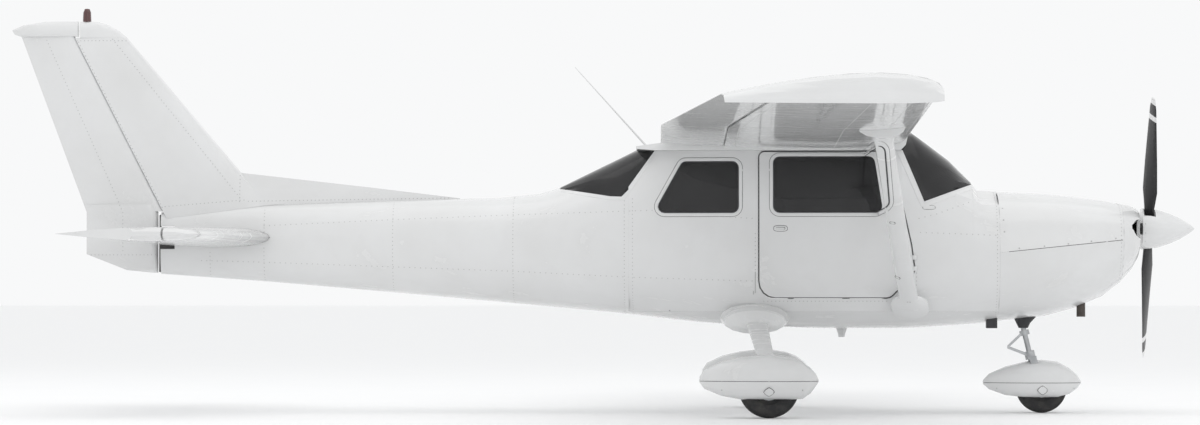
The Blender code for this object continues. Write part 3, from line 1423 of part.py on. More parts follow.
def make_nose_gear():
    cowl = bpy.data.objects["cowl_lower"]
    rings = []
    for z, long_half, half in NOSE_HOUSING:
        ring = []
        for k in range(16):
            turn = 2 * math.pi * k / 16
            x = leg_x(z) + long_half * math.cos(turn) + long_half - half
            ring.append(Vector((x, half * math.sin(turn), z)))
        rings.append(ring)
    housing = loft("nose_leg_housing", rings, "dark_trim")
    grown = []
    for ring in rings:
        middle = sum(ring, Vector()) / len(ring)
        grown.append([point + (point - middle).normalized() * GAP for point in ring])
    cut(cowl, loft("housing_room_cutter", grown))
    top, bearing, low = (leg_spot(z) for z in (NOSE_TUBE_TOP, BEARING_Z, NOSE_TUBE_FOOT))
    slope = (top - low).normalized()
    above = top + slope * 0.01
    cut(housing, rod("strut_bearing_cutter", above, low, NOSE_TUBE_RADIUS + HINGE_PLAY, sides=24))
    cut(housing, rod("strut_bore_cutter", bearing, low, NOSE_TUBE_RADIUS + BORE_ROOM))
    strut = rod("nose_strut", top, low, NOSE_TUBE_RADIUS, "grey_metal")
    high_z, low_z, radius = NOSE_COLLAR
    collar = rod("collar_cutter", leg_spot(high_z), leg_spot(low_z), radius)
    high_z, low_z, crown_radius = FORK_CROWN
    crown = rod("fork_crown_cutter", leg_spot(high_z), leg_spot(low_z), crown_radius)
    join(strut, collar, crown)
    x, _, radius, half, _ = NOSE_WHEEL
    fork_y = NOSE_FORK_HALF + 0.008
    (bridge_rear, bridge_front), (bridge_low, bridge_high) = FORK_BRIDGE
    bridge_half = fork_y + 0.008
    bridge = box(
        "fork_bridge_cutter",
        (bridge_rear, -bridge_half, bridge_low),
        (bridge_front, bridge_half, bridge_high),
    )
    join(strut, bridge)
    for side in (-1, 1):
        join(strut, fork_blade(f"fork_blade_{side}_cutter", side, 0.0))
    reach = fork_y + 0.010 - GAP
    axle = rod("nose_axle_cutter", (x, -reach, radius), (x, reach, radius), AXLE_RADIUS)
    join(strut, axle)
    knee_x, knee_z = LINK_KNEE
    for label, z in LINK_ROOTS:
        root_x = leg_x(z) - 0.010
        outline = (
            (root_x, z - 0.010),
            (root_x, z + 0.012),
            (knee_x, knee_z + 0.010),
            (knee_x, knee_z - 0.010),
        )
        link = [[(px, y, pz) for px, pz in outline] for y in (-LINK_HALF, LINK_HALF)]
        join(strut, loft(f"torque_link_{label}_cutter", link, None, None))
    pod = make_pod("nose_fairing", NOSE_WHEEL, NOSE_POD, NOSE_PART_Z, 0, NOSE_WELL_ROOM)
    room_ends = [(x, side * (reach + GAP), radius) for side in (-1, 1)]
    axle_room = rod("nose_axle_room_cutter", *room_ends, AXLE_RADIUS + SEAL)
    cut(pod, axle_room, *(fork_blade(f"fork_room_{side}_cutter", side, SEAL) for side in (-1, 1)))
    make_wheel("nose", NOSE_WHEEL, 0)


def blade_rings(turn):
    rings = []
    for radius, chord, thickness, pitch in BLADE:
        angle = math.radians(pitch)
        ring = []
        for k in range(10):
            around = 2 * math.pi * k / 10
            along = chord / 2 * math.cos(around)
            out = thickness / 2 * math.sin(around)
            forward = along * math.sin(angle) + out * math.cos(angle)
            sideways = -along * math.cos(angle) + out * math.sin(angle)
            point = Vector((forward, sideways, radius))
            ring.append(Vector((PROP_X, 0, SHAFT_Z)) + Matrix.Rotation(turn, 3, "X") @ point)
        rings.append(ring)
    return rings


def make_propeller():
    hub_ends = [(PROP_X + reach, 0, SHAFT_Z) for reach in (-HUB_HALF, HUB_HALF)]
    hub = rod("propeller", *hub_ends, HUB_RADIUS, "black_paint")
    shaft = rod("shaft_cutter", (ENGINE[0][1] + GAP, 0, SHAFT_Z), (PROP_X, 0, SHAFT_Z), SHAFT_RADIUS * 0.8)
    join(hub, shaft)
    for number in range(2):
        join(hub, loft(f"blade_{number}_cutter", blade_rings(PROP_ROLL + math.pi * number)))
    length = SPINNER_TIP_X - SPINNER_BASE_X
    profile = [(0.0, length)]
    profile += [(SPINNER_RADIUS * width, length * share) for share, width in reversed(SPINNER_CURVE)]
    profile.append((0.0, 0.0))
    spinner = turned("spinner", profile, (SPINNER_BASE_X, 0, SHAFT_Z), (1, 0, 0), "white_paint", 20)
    low, high, half = SPINNER_SLOT
    corners = [(y, z) for y, z in ((-half, -1), (half, -1), (half, 1), (-half, 1))]
    slot = [[(x, y, z * SLOT_REACH) for y, z in corners] for x in (low, high)]
    turn = Matrix.Rotation(PROP_ROLL, 3, "X")
    rings = [[turn @ Vector(point) + Vector((0, 0, SHAFT_Z)) for point in ring] for ring in slot]
    cut(spinner, loft("spinner_slot_cutter", rings, None, None))
    bore_ends = [(x, 0, SHAFT_Z) for x in SPINNER_BORE]
    cut(spinner, rod("spinner_shaft_cutter", *bore_ends, SHAFT_RADIUS * 0.8 + GAP))


def make_seats():
    ends = (TAIL_CONE_FRONT + GAP, FIREWALL_X - GAP)
    wall_side = cabin_solid("cabin_inside_cutter", *ends, SIDE_WALL + 2 * WALL_ROOM)
    seat_side = cabin_solid("seat_room_cutter", *ends, SIDE_WALL + SEAT_CLEAR)
    frame = box("front_seat_frames", *SEAT_RAIL, "grey_metal")
    for side, name in ((1, "left"), (-1, "right")):
        y = side * SEAT_Y
        low = y - SEAT_HALF
        high = y + SEAT_HALF
        pan_low = (SEAT_PAN_X[0], low + SEAT_PAN_INSET, SEAT_PAN_Z[0])
        pan_high = (SEAT_PAN_X[1], high - SEAT_PAN_INSET, SEAT_PAN_Z[1])
        join(frame, box(f"seat_pan_{name}_cutter", pan_low, pan_high))
        for x in SEAT_POST_X:
            for offset in SEAT_POST_Y:
                foot = (x - SEAT_POST_HALF, y + offset - SEAT_POST_HALF, FLOOR_TOP + GAP)
                head = (x + SEAT_POST_HALF, y + offset + SEAT_POST_HALF, SEAT_POST_TOP)
                join(frame, box(f"seat_post_{name}_{x}_{offset}_cutter", foot, head))
        prism("front_seat_" + name, SEAT_PROFILE, low, high, "seat_leather")
    rear = prism("rear_bench", BENCH_PROFILE, -REAR_SEAT_HALF, REAR_SEAT_HALF, "seat_leather")
    boolean(rear, seat_side, "INTERSECT")
    panel = prism("instrument_panel", PANEL_PROFILE, -PANEL_HALF, PANEL_HALF, "dark_trim")
    boolean(panel, wall_side, "INTERSECT")
    join(panel, box("pedestal_cutter", *PEDESTAL))


def make_belly_vent(skin_grown):
    """The small outlet below the cabin floor, just behind the engine."""
    low, high = BELLY_VENT
    vent = box("belly_vent", low, high, "dark_trim", 0.004)
    cut(vent, skin_grown)


def make_antennas():
    x, y, z = WHIP_BASE
    rod("whip_antenna", (x, y, z), WHIP_TIP, WHIP_RADIUS * 1.6, "white_paint", WHIP_RADIUS * 0.5, 8)
    shape = ((1.0, 0.3), (0.4, 1.0), (-1.0, 0.2), (-1.0, -0.2), (0.4, -1.0), (1.0, -0.3))
    rings = []
    for z, long_half, half in BELLY_MAST:
        rings.append([(BELLY_MAST_X + along * long_half, across * half, z) for along, across in shape])
    loft("belly_mast", rings, "white_paint")


def pivots():
    """A point on the joint axis of each moving piece whose mesh isn't already built about its own."""
    leg = Vector((NOSE_LEG_LOW[0], 0.0, NOSE_LEG_LOW[1]))
    places = {
        "propeller": (PROP_X, 0.0, SHAFT_Z),
        "nose_strut": leg,
        "nose_fairing": leg,
        "rudder": (FIN_LOW[2], 0.0, FIN_LOW[0]),
        "elevator": (TAIL_HINGE_X, 0.0, TAIL_Z),
        "elevator_tab": tab_hinge(),
        "baggage_door": (*BAGGAGE_HINGE, BAGGAGE_DOOR[0][1]),
    }
    flap_spot = wing_hinge_point(ROOF_HALF + END_GAP) - Vector((FLAP_PIVOT_AFT, 0.0, FLAP_PIVOT_BELOW))
    spots = {"aileron": wing_hinge_point(AILERON_INNER), "flap": flap_spot}
    for name in ("door", "door_window"):
        spots[name] = Vector((*DOOR_HINGE, DOOR_OUTLINE[0][1]))
    for name, spot in spots.items():
        places[name + "_left"] = spot
        places[name + "_right"] = Vector((spot.x, -spot.y, spot.z))
    return places


def set_origins():
    """Moves each moving piece's origin onto its joint axis and leaves its shape where it is."""
    for name, place_on_axis in pivots().items():
        obj = bpy.data.objects[name]
        spot = Vector(place_on_axis)
        obj.data.transform(Matrix.Translation(-spot))
        obj.location = spot


def main():
    body_grown = body_solid("body_grown_cutter", TAIL_END, FIREWALL_X, -SEAL)
    roof_cutter = make_roof()
    make_cabin()
    make_glass(roof_cutter)
    cone = make_tail_cone()
    make_firewall()
    make_bulkhead()
    make_nose()
    make_wing()
    skin_stations = stations(TAIL_CONE_FRONT, FIREWALL_X, *SIDE_STATIONS)
    skin_grown = loft("skin_grown_cutter", [skin_ring(x, GAP) for x in skin_stations])
    make_struts(skin_grown)
    make_tailplane(cone)
    make_fin(body_grown)
    make_main_gear(skin_grown)
    make_belly_vent(skin_grown)
    make_nose_gear()
    make_propeller()
    make_seats()
    make_antennas()
    set_origins()


clear_scene()
PARTS = new_collection("light_aircraft")
CUTTERS = new_collection("cutters")
main()
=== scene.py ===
"""Light aircraft: finishes, rivets, screws, window frames, handles, seats, cabin fittings, light and camera.

Metres, +X forward to the nose, +Y to port, +Z up. Every CAD node keeps its shape and gets a finish of its
own here, and the pieces modelled here sit on those nodes.
"""

import json
import math

import bmesh
import bpy
from mathutils import Matrix, Vector
from mathutils.bvhtree import BVHTree


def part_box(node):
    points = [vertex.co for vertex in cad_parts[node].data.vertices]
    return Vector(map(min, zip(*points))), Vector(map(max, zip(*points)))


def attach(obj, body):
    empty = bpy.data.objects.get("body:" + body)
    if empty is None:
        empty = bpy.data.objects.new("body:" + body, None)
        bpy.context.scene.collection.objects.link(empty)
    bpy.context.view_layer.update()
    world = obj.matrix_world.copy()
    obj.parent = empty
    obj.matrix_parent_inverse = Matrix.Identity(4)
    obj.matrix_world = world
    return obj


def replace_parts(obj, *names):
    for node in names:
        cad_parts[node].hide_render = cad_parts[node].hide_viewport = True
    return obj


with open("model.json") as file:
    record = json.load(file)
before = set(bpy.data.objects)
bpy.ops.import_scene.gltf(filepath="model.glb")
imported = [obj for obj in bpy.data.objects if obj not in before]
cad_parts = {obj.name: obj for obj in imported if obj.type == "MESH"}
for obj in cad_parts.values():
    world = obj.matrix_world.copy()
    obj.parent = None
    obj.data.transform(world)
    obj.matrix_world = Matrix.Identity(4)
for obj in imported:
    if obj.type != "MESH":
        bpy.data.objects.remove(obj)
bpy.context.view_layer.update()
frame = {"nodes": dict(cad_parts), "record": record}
NODES = frame["nodes"]
SIDES = ((1, "left"), (-1, "right"))

# Camera
CAMERA_PLACE = (0.914, -27.0, 0.814)
CAMERA_AIM = (-0.03385, 1.0, 0.02106)
CAMERA_LENS = 117.0

# Light: name, place, what it points at, size, power, colour
LAMPS = (
    ("top_light", (0.5, -2.0, 11.0), (0.0, 0.0, 1.0), (16.0, 12.0), 300.0, (1.0, 0.99, 0.98)),
    ("side_light", (5.0, -16.0, 7.0), (0.0, 0.0, 1.2), (12.0, 7.0), 60.0, (1.0, 1.0, 1.0)),
    ("tail_light", (-12.0, 8.0, 8.0), (0.0, 0.0, 1.2), (8.0, 6.0), 60.0, (0.96, 0.98, 1.0)),
)
SKY_COLOUR = (0.99, 0.995, 1.0)
SKY_STRENGTH = 0.95
FLOOR_TONES = ((0.95, 0.95, 0.95), (0.92, 0.925, 0.93))
FLOOR_RADIUS = 260.0
FLOOR_STEPS = 96

# Propeller: shaft height, blade length, and the radius where each painted band starts
SHAFT_Z = 1.268
PROP_RADIUS = 0.9525
BLACK = (0.012, 0.012, 0.013)
TIP_WHITE = (0.78, 0.78, 0.78)
BLADE_BANDS = (
    (0.0, BLACK),
    (0.790, TIP_WHITE),
    (0.826, BLACK),
    (0.905, TIP_WHITE),
)

SMOOTH_ANGLE = math.radians(32)
# The Mix node's colour sockets, by number because its sockets share their names
MIX_COLOUR_INPUTS = (6, 7)
MIX_COLOUR_OUTPUT = 2


# Node helpers for the materials
def new_material(name):
    made = bpy.data.materials.new(name)
    made.use_nodes = True
    made.node_tree.nodes.clear()
    tree = made.node_tree
    out = tree.nodes.new("ShaderNodeOutputMaterial")
    shader = tree.nodes.new("ShaderNodeBsdfPrincipled")
    tree.links.new(shader.outputs["BSDF"], out.inputs["Surface"])
    return made, tree, shader


def coordinates(tree, stretch=(1.0, 1.0, 1.0)):
    """The object's own coordinates in metres, which stay with it when it moves."""
    place = tree.nodes.new("ShaderNodeTexCoord")
    scale = tree.nodes.new("ShaderNodeMapping")
    scale.inputs["Scale"].default_value = stretch
    tree.links.new(place.outputs["Object"], scale.inputs["Vector"])
    return scale.outputs["Vector"]


def noise(tree, vector, scale, detail=3.0, roughness=0.5):
    node = tree.nodes.new("ShaderNodeTexNoise")
    node.inputs["Scale"].default_value = scale
    node.inputs["Detail"].default_value = detail
    node.inputs["Roughness"].default_value = roughness
    tree.links.new(vector, node.inputs["Vector"])
    return node.outputs["Fac"]


def spread(tree, value, low, high, to_low, to_high):
    """Maps value from low..high to to_low..to_high, held at the ends."""
    node = tree.nodes.new("ShaderNodeMapRange")
    for socket, number in zip(("From Min", "From Max", "To Min", "To Max"), (low, high, to_low, to_high)):
        node.inputs[socket].default_value = number
    tree.links.new(value, node.inputs["Value"])
    return node.outputs["Result"]


def blend_colours(tree, factor, first, second):
    """Mixes two colours, each a tuple or a socket, by a factor socket."""
    node = tree.nodes.new("ShaderNodeMix")
    node.data_type = "RGBA"
    tree.links.new(factor, node.inputs["Factor"])
    for index, colour in zip(MIX_COLOUR_INPUTS, (first, second)):
        if isinstance(colour, tuple):
            node.inputs[index].default_value = (*colour, 1.0)
        else:
            tree.links.new(colour, node.inputs[index])
    return node.outputs[MIX_COLOUR_OUTPUT]


def add_bump(tree, shader, height, strength, distance, under=None):
    node = tree.nodes.new("ShaderNodeBump")
    node.inputs["Strength"].default_value = strength
    node.inputs["Distance"].default_value = distance
    tree.links.new(height, node.inputs["Height"])
    if under is not None:
        tree.links.new(under, node.inputs["Normal"])
    tree.links.new(node.outputs["Normal"], shader.inputs["Normal"])
    return node.outputs["Normal"]


# Finishes
def paint(name, colour, grime, gloss):
    """Sprayed gloss paint over thin sheet: faint dents, drifting tone, and dust in streaks that fall at random."""
    made, tree, shader = new_material(name)
    place = coordinates(tree)
    drift = noise(tree, place, 1.6, 4.0, 0.55)
    streaks = noise(tree, coordinates(tree, (1.2, 9.0, 1.2)), 2.2, 5.0, 0.65)
    toned = blend_colours(tree, spread(tree, drift, 0.35, 0.70, 0.0, 0.55), colour, grime)
    dusty = blend_colours(tree, spread(tree, streaks, 0.52, 0.78, 0.0, 0.40), toned, grime)
    tree.links.new(dusty, shader.inputs["Base Color"])
    tree.links.new(spread(tree, streaks, 0.3, 0.8, gloss, gloss + 0.14), shader.inputs["Roughness"])
    shader.inputs["Coat Weight"].default_value = 0.55
    shader.inputs["Coat Roughness"].default_value = 0.07
    dents = noise(tree, place, 2.8, 2.0, 0.4)
    peel = noise(tree, place, 420.0, 2.0, 0.5)
    soft = add_bump(tree, shader, dents, 0.10, 0.012)
    add_bump(tree, shader, peel, 0.05, 0.0002, soft)
    return made


def metal(name, colour, dark, rough, grain, metallic=1.0):
    """Worked metal with a fine grain, darker in broad patches that fall at random."""
    made, tree, shader = new_material(name)
    place = coordinates(tree, grain)
    fine = noise(tree, place, 60.0, 6.0, 0.6)
    broad = noise(tree, coordinates(tree), 9.0, 4.0, 0.6)
    tone = blend_colours(tree, spread(tree, broad, 0.35, 0.7, 0.0, 0.8), colour, dark)
    tree.links.new(tone, shader.inputs["Base Color"])
    tree.links.new(spread(tree, fine, 0.25, 0.75, rough - 0.08, rough + 0.12), shader.inputs["Roughness"])
    shader.inputs["Metallic"].default_value = metallic
    add_bump(tree, shader, fine, 0.25, 0.0006)
    return made


def rubber(name):
    """Tyre rubber: near black, greyed where dust holds."""
    made, tree, shader = new_material(name)
    place = coordinates(tree)
    grit = noise(tree, place, 240.0, 6.0, 0.7)
    dust = noise(tree, place, 14.0, 5.0, 0.6)
    tone = blend_colours(tree, spread(tree, dust, 0.45, 0.75, 0.0, 0.6), (0.018, 0.018, 0.019), (0.075, 0.070, 0.064))
    tree.links.new(tone, shader.inputs["Base Color"])
    tree.links.new(spread(tree, grit, 0.3, 0.7, 0.62, 0.85), shader.inputs["Roughness"])
    add_bump(tree, shader, grit, 0.45, 0.0008)
    return made


def leather(name, colour, worn):
    """Dark upholstery leather: cell grain, slow tone drift and a soft sheen."""
    made, tree, shader = new_material(name)
    place = coordinates(tree)
    cells = tree.nodes.new("ShaderNodeTexVoronoi")
    cells.feature = "DISTANCE_TO_EDGE"
    cells.inputs["Scale"].default_value = 420.0
    tree.links.new(place, cells.inputs["Vector"])
    wear = noise(tree, place, 6.0, 5.0, 0.6)
    tone = blend_colours(tree, spread(tree, wear, 0.45, 0.75, 0.0, 0.7), colour, worn)
    tree.links.new(tone, shader.inputs["Base Color"])
    tree.links.new(spread(tree, wear, 0.3, 0.8, 0.42, 0.62), shader.inputs["Roughness"])
    shader.inputs["Sheen Weight"].default_value = 0.12
    add_bump(tree, shader, spread(tree, cells.outputs["Distance"], 0.0, 0.25, 0.0, 1.0), 0.35, 0.0008)
    return made


def plastic(name, colour, worn, rough):
    """Moulded plastic with a pebbled face."""
    made, tree, shader = new_material(name)
    place = coordinates(tree)
    pebble = noise(tree, place, 700.0, 3.0, 0.5)
    drift = noise(tree, place, 5.0, 4.0, 0.6)
    tone = blend_colours(tree, spread(tree, drift, 0.4, 0.75, 0.0, 0.6), colour, worn)
    tree.links.new(tone, shader.inputs["Base Color"])
    tree.links.new(spread(tree, pebble, 0.3, 0.7, rough - 0.08, rough + 0.08), shader.inputs["Roughness"])
    add_bump(tree, shader, pebble, 0.30, 0.0005)
    return made


def glass(name):
    """Smoked acrylic: a dark see-through sheet with a glossy face and a faint haze."""
    made, tree, shader = new_material(name)
    place = coordinates(tree)
    haze = noise(tree, place, 3.0, 4.0, 0.6)
    tone = blend_colours(tree, spread(tree, haze, 0.3, 0.8, 0.0, 1.0), (0.020, 0.020, 0.021), (0.034, 0.034, 0.035))
    tree.links.new(tone, shader.inputs["Base Color"])
    tree.links.new(spread(tree, haze, 0.3, 0.8, 0.03, 0.09), shader.inputs["Roughness"])
    tree.links.new(spread(tree, haze, 0.2, 0.9, 0.80, 0.86), shader.inputs["Alpha"])
    shader.inputs["IOR"].default_value = 1.45
    return made


def lens(name):
    """Dark red moulded lens with fine upright ribs."""
    made, tree, shader = new_material(name)
    ribs = noise(tree, coordinates(tree, (1.0, 1.0, 0.02)), 190.0, 2.0, 0.4)
    tone = blend_colours(tree, ribs, (0.045, 0.012, 0.012), (0.10, 0.02, 0.018))
    tree.links.new(tone, shader.inputs["Base Color"])
    tree.links.new(spread(tree, ribs, 0.3, 0.7, 0.10, 0.22), shader.inputs["Roughness"])
    shader.inputs["Coat Weight"].default_value = 0.8
    add_bump(tree, shader, ribs, 0.4, 0.001)
    return made


def painted_blade(name):
    """The propeller's finish: black blades whose ends carry white, black and white bands by radius."""
    made, tree, shader = new_material(name)
    place = coordinates(tree)
    apart = tree.nodes.new("ShaderNodeSeparateXYZ")
    tree.links.new(place, apart.inputs["Vector"])
    flat = tree.nodes.new("ShaderNodeCombineXYZ")
    lift = tree.nodes.new("ShaderNodeMath")
    lift.operation = "SUBTRACT"
    lift.inputs[1].default_value = SHAFT_Z
    tree.links.new(apart.outputs["Z"], lift.inputs[0])
    tree.links.new(apart.outputs["Y"], flat.inputs["Y"])
    tree.links.new(lift.outputs["Value"], flat.inputs["Z"])
    length = tree.nodes.new("ShaderNodeVectorMath")
    length.operation = "LENGTH"
    tree.links.new(flat.outputs["Vector"], length.inputs[0])
    bands = tree.nodes.new("ShaderNodeValToRGB")
    bands.color_ramp.interpolation = "CONSTANT"
    stops = bands.color_ramp.elements
    for number, (radius, shade) in enumerate(BLADE_BANDS):
        stop = stops[number] if number < 2 else stops.new(radius / PROP_RADIUS)
        stop.position = radius / PROP_RADIUS
        stop.color = (*shade, 1.0)
    tree.links.new(spread(tree, length.outputs["Value"], 0.0, PROP_RADIUS, 0.0, 1.0), bands.inputs["Fac"])
    nicks = noise(tree, place, 55.0, 5.0, 0.65)
    worn = blend_colours(tree, spread(tree, nicks, 0.62, 0.72, 0.0, 0.5), bands.outputs["Color"], (0.16, 0.16, 0.16))
    tree.links.new(worn, shader.inputs["Base Color"])
    tree.links.new(spread(tree, nicks, 0.3, 0.7, 0.26, 0.42), shader.inputs["Roughness"])
    add_bump(tree, shader, nicks, 0.08, 0.0006)
    return made


WHITE = (0.745, 0.75, 0.752)
GRIME = (0.66, 0.66, 0.655)
FINISH = {
    "white_paint": paint("white_paint_finish", WHITE, GRIME, 0.18),
    "leg_paint": paint("leg_paint_finish", WHITE, GRIME, 0.20),
    "grey_metal": metal("grey_metal_finish", (0.50, 0.51, 0.52), (0.32, 0.33, 0.34), 0.34, (1.0, 1.0, 1.0)),
    "engine_metal": metal("engine_metal_finish", (0.16, 0.16, 0.17), (0.07, 0.07, 0.07), 0.55, (1.0, 1.0, 1.0), 0.6),
    "exhaust_metal": metal("exhaust_finish", (0.13, 0.115, 0.105), (0.06, 0.05, 0.045), 0.55, (1.0, 1.0, 1.0), 0.8),
    "tinted_glass": glass("tinted_glass_finish"),
    "tyre_rubber": rubber("tyre_rubber_finish"),
    "seat_leather": leather("seat_leather_finish", (0.050, 0.048, 0.047), (0.105, 0.098, 0.090)),
    "dark_trim": plastic("dark_trim_finish", (0.030, 0.030, 0.033), (0.060, 0.060, 0.062), 0.60),
    "black_paint": plastic("black_paint_finish", (0.014, 0.014, 0.016), (0.035, 0.035, 0.036), 0.34),
    "dial_face": plastic("dial_face_finish", (0.020, 0.020, 0.022), (0.045, 0.045, 0.048), 0.40),
    # The seam finish draws real dark joints and seals, and also painted shadow: the shadow lines round the windows,
    # the outlines under the side plates and wheel caps, and the handle's well.
    "seam": plastic("seam_and_shadow_finish", (0.10, 0.10, 0.10), (0.17, 0.17, 0.17), 0.70),
    "beacon_lens": lens("beacon_lens_finish"),
    "blade_paint": painted_blade("blade_paint_finish"),
    # Rivet, screw and nut heads share this mid grey. The rivets carry the skin's white paint, so on them the grey is
    # painted shade that makes each head show as a dark dot.
    "rivet_shade_and_screw_grey": paint("rivet_shade_and_screw_grey_finish", (0.47, 0.47, 0.47), (0.38, 0.38, 0.38), 0.34),
}


# Smooth shading of the CAD nodes: normals only, the meshes stay as they are
def smooth_shading(obj, limit=SMOOTH_ANGLE):
    """Each corner takes the mean of the faces round its point that lean less than the limit from its own."""
    mesh = obj.data
    spots = [tuple(round(number, 5) for number in vertex.co) for vertex in mesh.vertices]
    around = {}
    for face in mesh.polygons:
        corners = [mesh.vertices[index].co for index in face.vertices]
        for number, index in enumerate(face.vertices):
            back = corners[number - 1] - corners[number]
            ahead = corners[(number + 1) % len(corners)] - corners[number]
            weight = back.angle(ahead, 0.0)
            around.setdefault(spots[index], []).append((face, weight))
    bound = math.cos(limit)
    normals = []
    for face in mesh.polygons:
        for index in face.vertices:
            total = Vector()
            for other, weight in around[spots[index]]:
                if other.normal.dot(face.normal) > bound:
                    total += other.normal * weight
            normals.append(total.normalized() if total.length else face.normal)
    mesh.polygons.foreach_set("use_smooth", [True] * len(mesh.polygons))
    mesh.normals_split_custom_set(normals)


def dress_nodes():
    """Each node's finish is its record slot's, apart from the propeller's bands."""
    slots = {part["node"]: part["material_slot"] for part in frame["record"]["subparts"]}
    for name, obj in NODES.items():
        smooth_shading(obj)
        finish = FINISH["blade_paint"] if name == "propeller" else FINISH[slots[name]]
        obj.data.materials.clear()
        obj.data.materials.append(finish)


# Placing things on the skin
class Skin:
    """The outer faces of some CAD nodes, with which node each face belongs to."""

    def __init__(self, names):
        points = []
        faces = []
        self.owners = []
        for name in names:
            mesh = NODES[name].data
            first = len(points)
            points.extend(vertex.co.copy() for vertex in mesh.vertices)
            for face in mesh.polygons:
                faces.append([first + index for index in face.vertices])
                self.owners.append(name)
        self.tree = BVHTree.FromPolygons(points, faces)

    def meet(self, start, direction, wanted=None):
        """The first point met along a ray, its outward normal and its node, or None if that isn't a wanted node."""
        spot, normal, index, _ = self.tree.ray_cast(Vector(start), Vector(direction))
        if spot is None or (wanted and self.owners[index] not in wanted):
            return None
        if normal.dot(Vector(direction)) > 0:
            normal = -normal
        return spot, normal, self.owners[index]


BODY_SHEETS = (
    "tail_cone", "belly_floor", "cabin_side_left", "cabin_side_right", "cabin_roof",
    "cowl_upper", "cowl_lower", "nose_bowl",
)
HIDING = (
    "wing_left", "wing_right", "strut_left", "strut_right", "windscreen", "rear_window", "fin", "tailplane",
    "door_left", "door_right", "quarter_window_left", "quarter_window_right", "baggage_door", "nose_leg_housing",
    "main_leg_left", "main_leg_right", "exhaust", "belly_vent", "belly_mast", "elevator",
    "door_window_left", "door_window_right",
)
BODY_SKIN = Skin(BODY_SHEETS + HIDING)
FAR = 3.0
RING_MIDDLE_Z = 1.120
RING_STEPS = 400
NODE_BODY = {node: body for body, nodes in frame["record"]["behaviour"]["bodies"].items() for node in nodes}


def side_spot(x, z, side, wanted=BODY_SHEETS):
    return BODY_SKIN.meet((x, side * FAR, z), (0, -side, 0), wanted)


def below_spot(x, y, wanted=BODY_SHEETS):
    return BODY_SKIN.meet((x, y, -FAR), (0, 0, 1), wanted)


def steps_between(start, end, pitch):
    """Evenly spaced points from start to end, about a pitch apart."""
    start = Vector(start)
    end = Vector(end)
    count = max(1, round((end - start).length / pitch))
    return [start.lerp(end, number / count) for number in range(count + 1)]


def along(points, pitch):
    """Points a pitch apart along a broken line."""
    found = []
    for start, end in zip(points, points[1:]):
        found.extend(steps_between(start, end, pitch)[:-1])
    found.append(Vector(points[-1]))
    return found


# Rivets: a low domed head of six sides
RIVET_RADIUS = 0.0042
RIVET_RISE = 0.0011
RIVET_SIDES = 6
RIVET_PITCH = 0.027
WIDE_PITCH = 0.038
HEAD_SHAPE = ((1.0, -0.3), (0.62, 0.8))


def frame_at(normal):
    return normal.to_track_quat("Z", "Y").to_matrix()


def heads_mesh(name, spots, radius=RIVET_RADIUS, rise=RIVET_RISE, sides=RIVET_SIDES):
    """One mesh with a domed head at each spot, sunk a little into the skin."""
    points = []
    faces = []
    for place, normal, _ in spots:
        turn = frame_at(normal)
        first = len(points)
        for share, height in HEAD_SHAPE:
            for number in range(sides):
                angle = 2 * math.pi * number / sides
                local = Vector((radius * share * math.cos(angle), radius * share * math.sin(angle), rise * height))
                points.append(place + turn @ local)
        points.append(place + turn @ Vector((0, 0, rise)))
        points.append(place + turn @ Vector((0, 0, rise * HEAD_SHAPE[0][1])))
        for number in range(sides):
            after = (number + 1) % sides
            low, next_low = first + number, first + after
            high, next_high = low + sides, next_low + sides
            faces.append((low, next_low, next_high, high))
            faces.append((high, next_high, first + 2 * sides))
            faces.append((next_low, low, first + 2 * sides + 1))
    mesh = bpy.data.meshes.new(name)
    mesh.from_pydata(points, [], faces)
    mesh.update()
    return mesh


def add_piece(name, mesh, body, finish, smooth=True):
    """Makes a piece of the mesh, riding on a body, with the named finish."""
    obj = bpy.data.objects.new(name, mesh)
    bpy.context.scene.collection.objects.link(obj)
    mesh.materials.clear()
    mesh.materials.append(FINISH[finish])
    if smooth:
        mesh.polygons.foreach_set("use_smooth", [True] * len(mesh.polygons))
    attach(obj, body)
    return obj


# Rivet lines round the body: x, lowest and highest turn in degrees from straight down, pitch
BODY_RINGS = (
    (-2.700, 0, 150, RIVET_PITCH),
    (-2.320, 0, 165, RIVET_PITCH),
    (-1.420, 0, 172, RIVET_PITCH),
    (-0.586, 0, 176, RIVET_PITCH),
    (0.180, 0, 130, RIVET_PITCH),
    (0.236, 0, 130, RIVET_PITCH),
    (1.072, 0, 176, RIVET_PITCH),
    (1.060, 0, 60, RIVET_PITCH),
    (2.712, 0, 176, RIVET_PITCH),
    (3.560, 0, 176, RIVET_PITCH),
)
# Rivet lines along the side: x and z of their points, pitch
SIDE_LINES = (
    (((1.050, 0.906), (0.208, 0.933), (-0.586, 0.974), (-2.320, 1.038), (-2.760, 1.050)), WIDE_PITCH),
    (((0.370, 1.388), (-0.586, 1.361), (-1.420, 1.330), (-2.320, 1.290)), WIDE_PITCH),
    (((1.050, 1.331), (0.790, 1.348)), WIDE_PITCH),
    (((2.180, 1.330), (2.300, 1.360), (2.520, 1.440)), WIDE_PITCH),
    (((2.190, 1.235), (2.700, 1.216)), WIDE_PITCH),
    (((2.088, 1.354), (2.128, 1.150), (2.163, 0.960), (2.163, 0.879)), RIVET_PITCH),
    (((1.130, 0.769), (1.990, 0.769)), RIVET_PITCH),
    (((1.090, 0.905), (1.090, 1.740)), RIVET_PITCH),
    (((2.140, 1.560), (2.196, 1.437)), RIVET_PITCH),
)
BELLY_LINES = (
    (((0.250, 0.0), (2.700, 0.0)), WIDE_PITCH),
    (((0.250, 0.2), (2.700, 0.25)), WIDE_PITCH),
    (((-2.600, 0.0), (0.180, 0.0)), WIDE_PITCH),
)


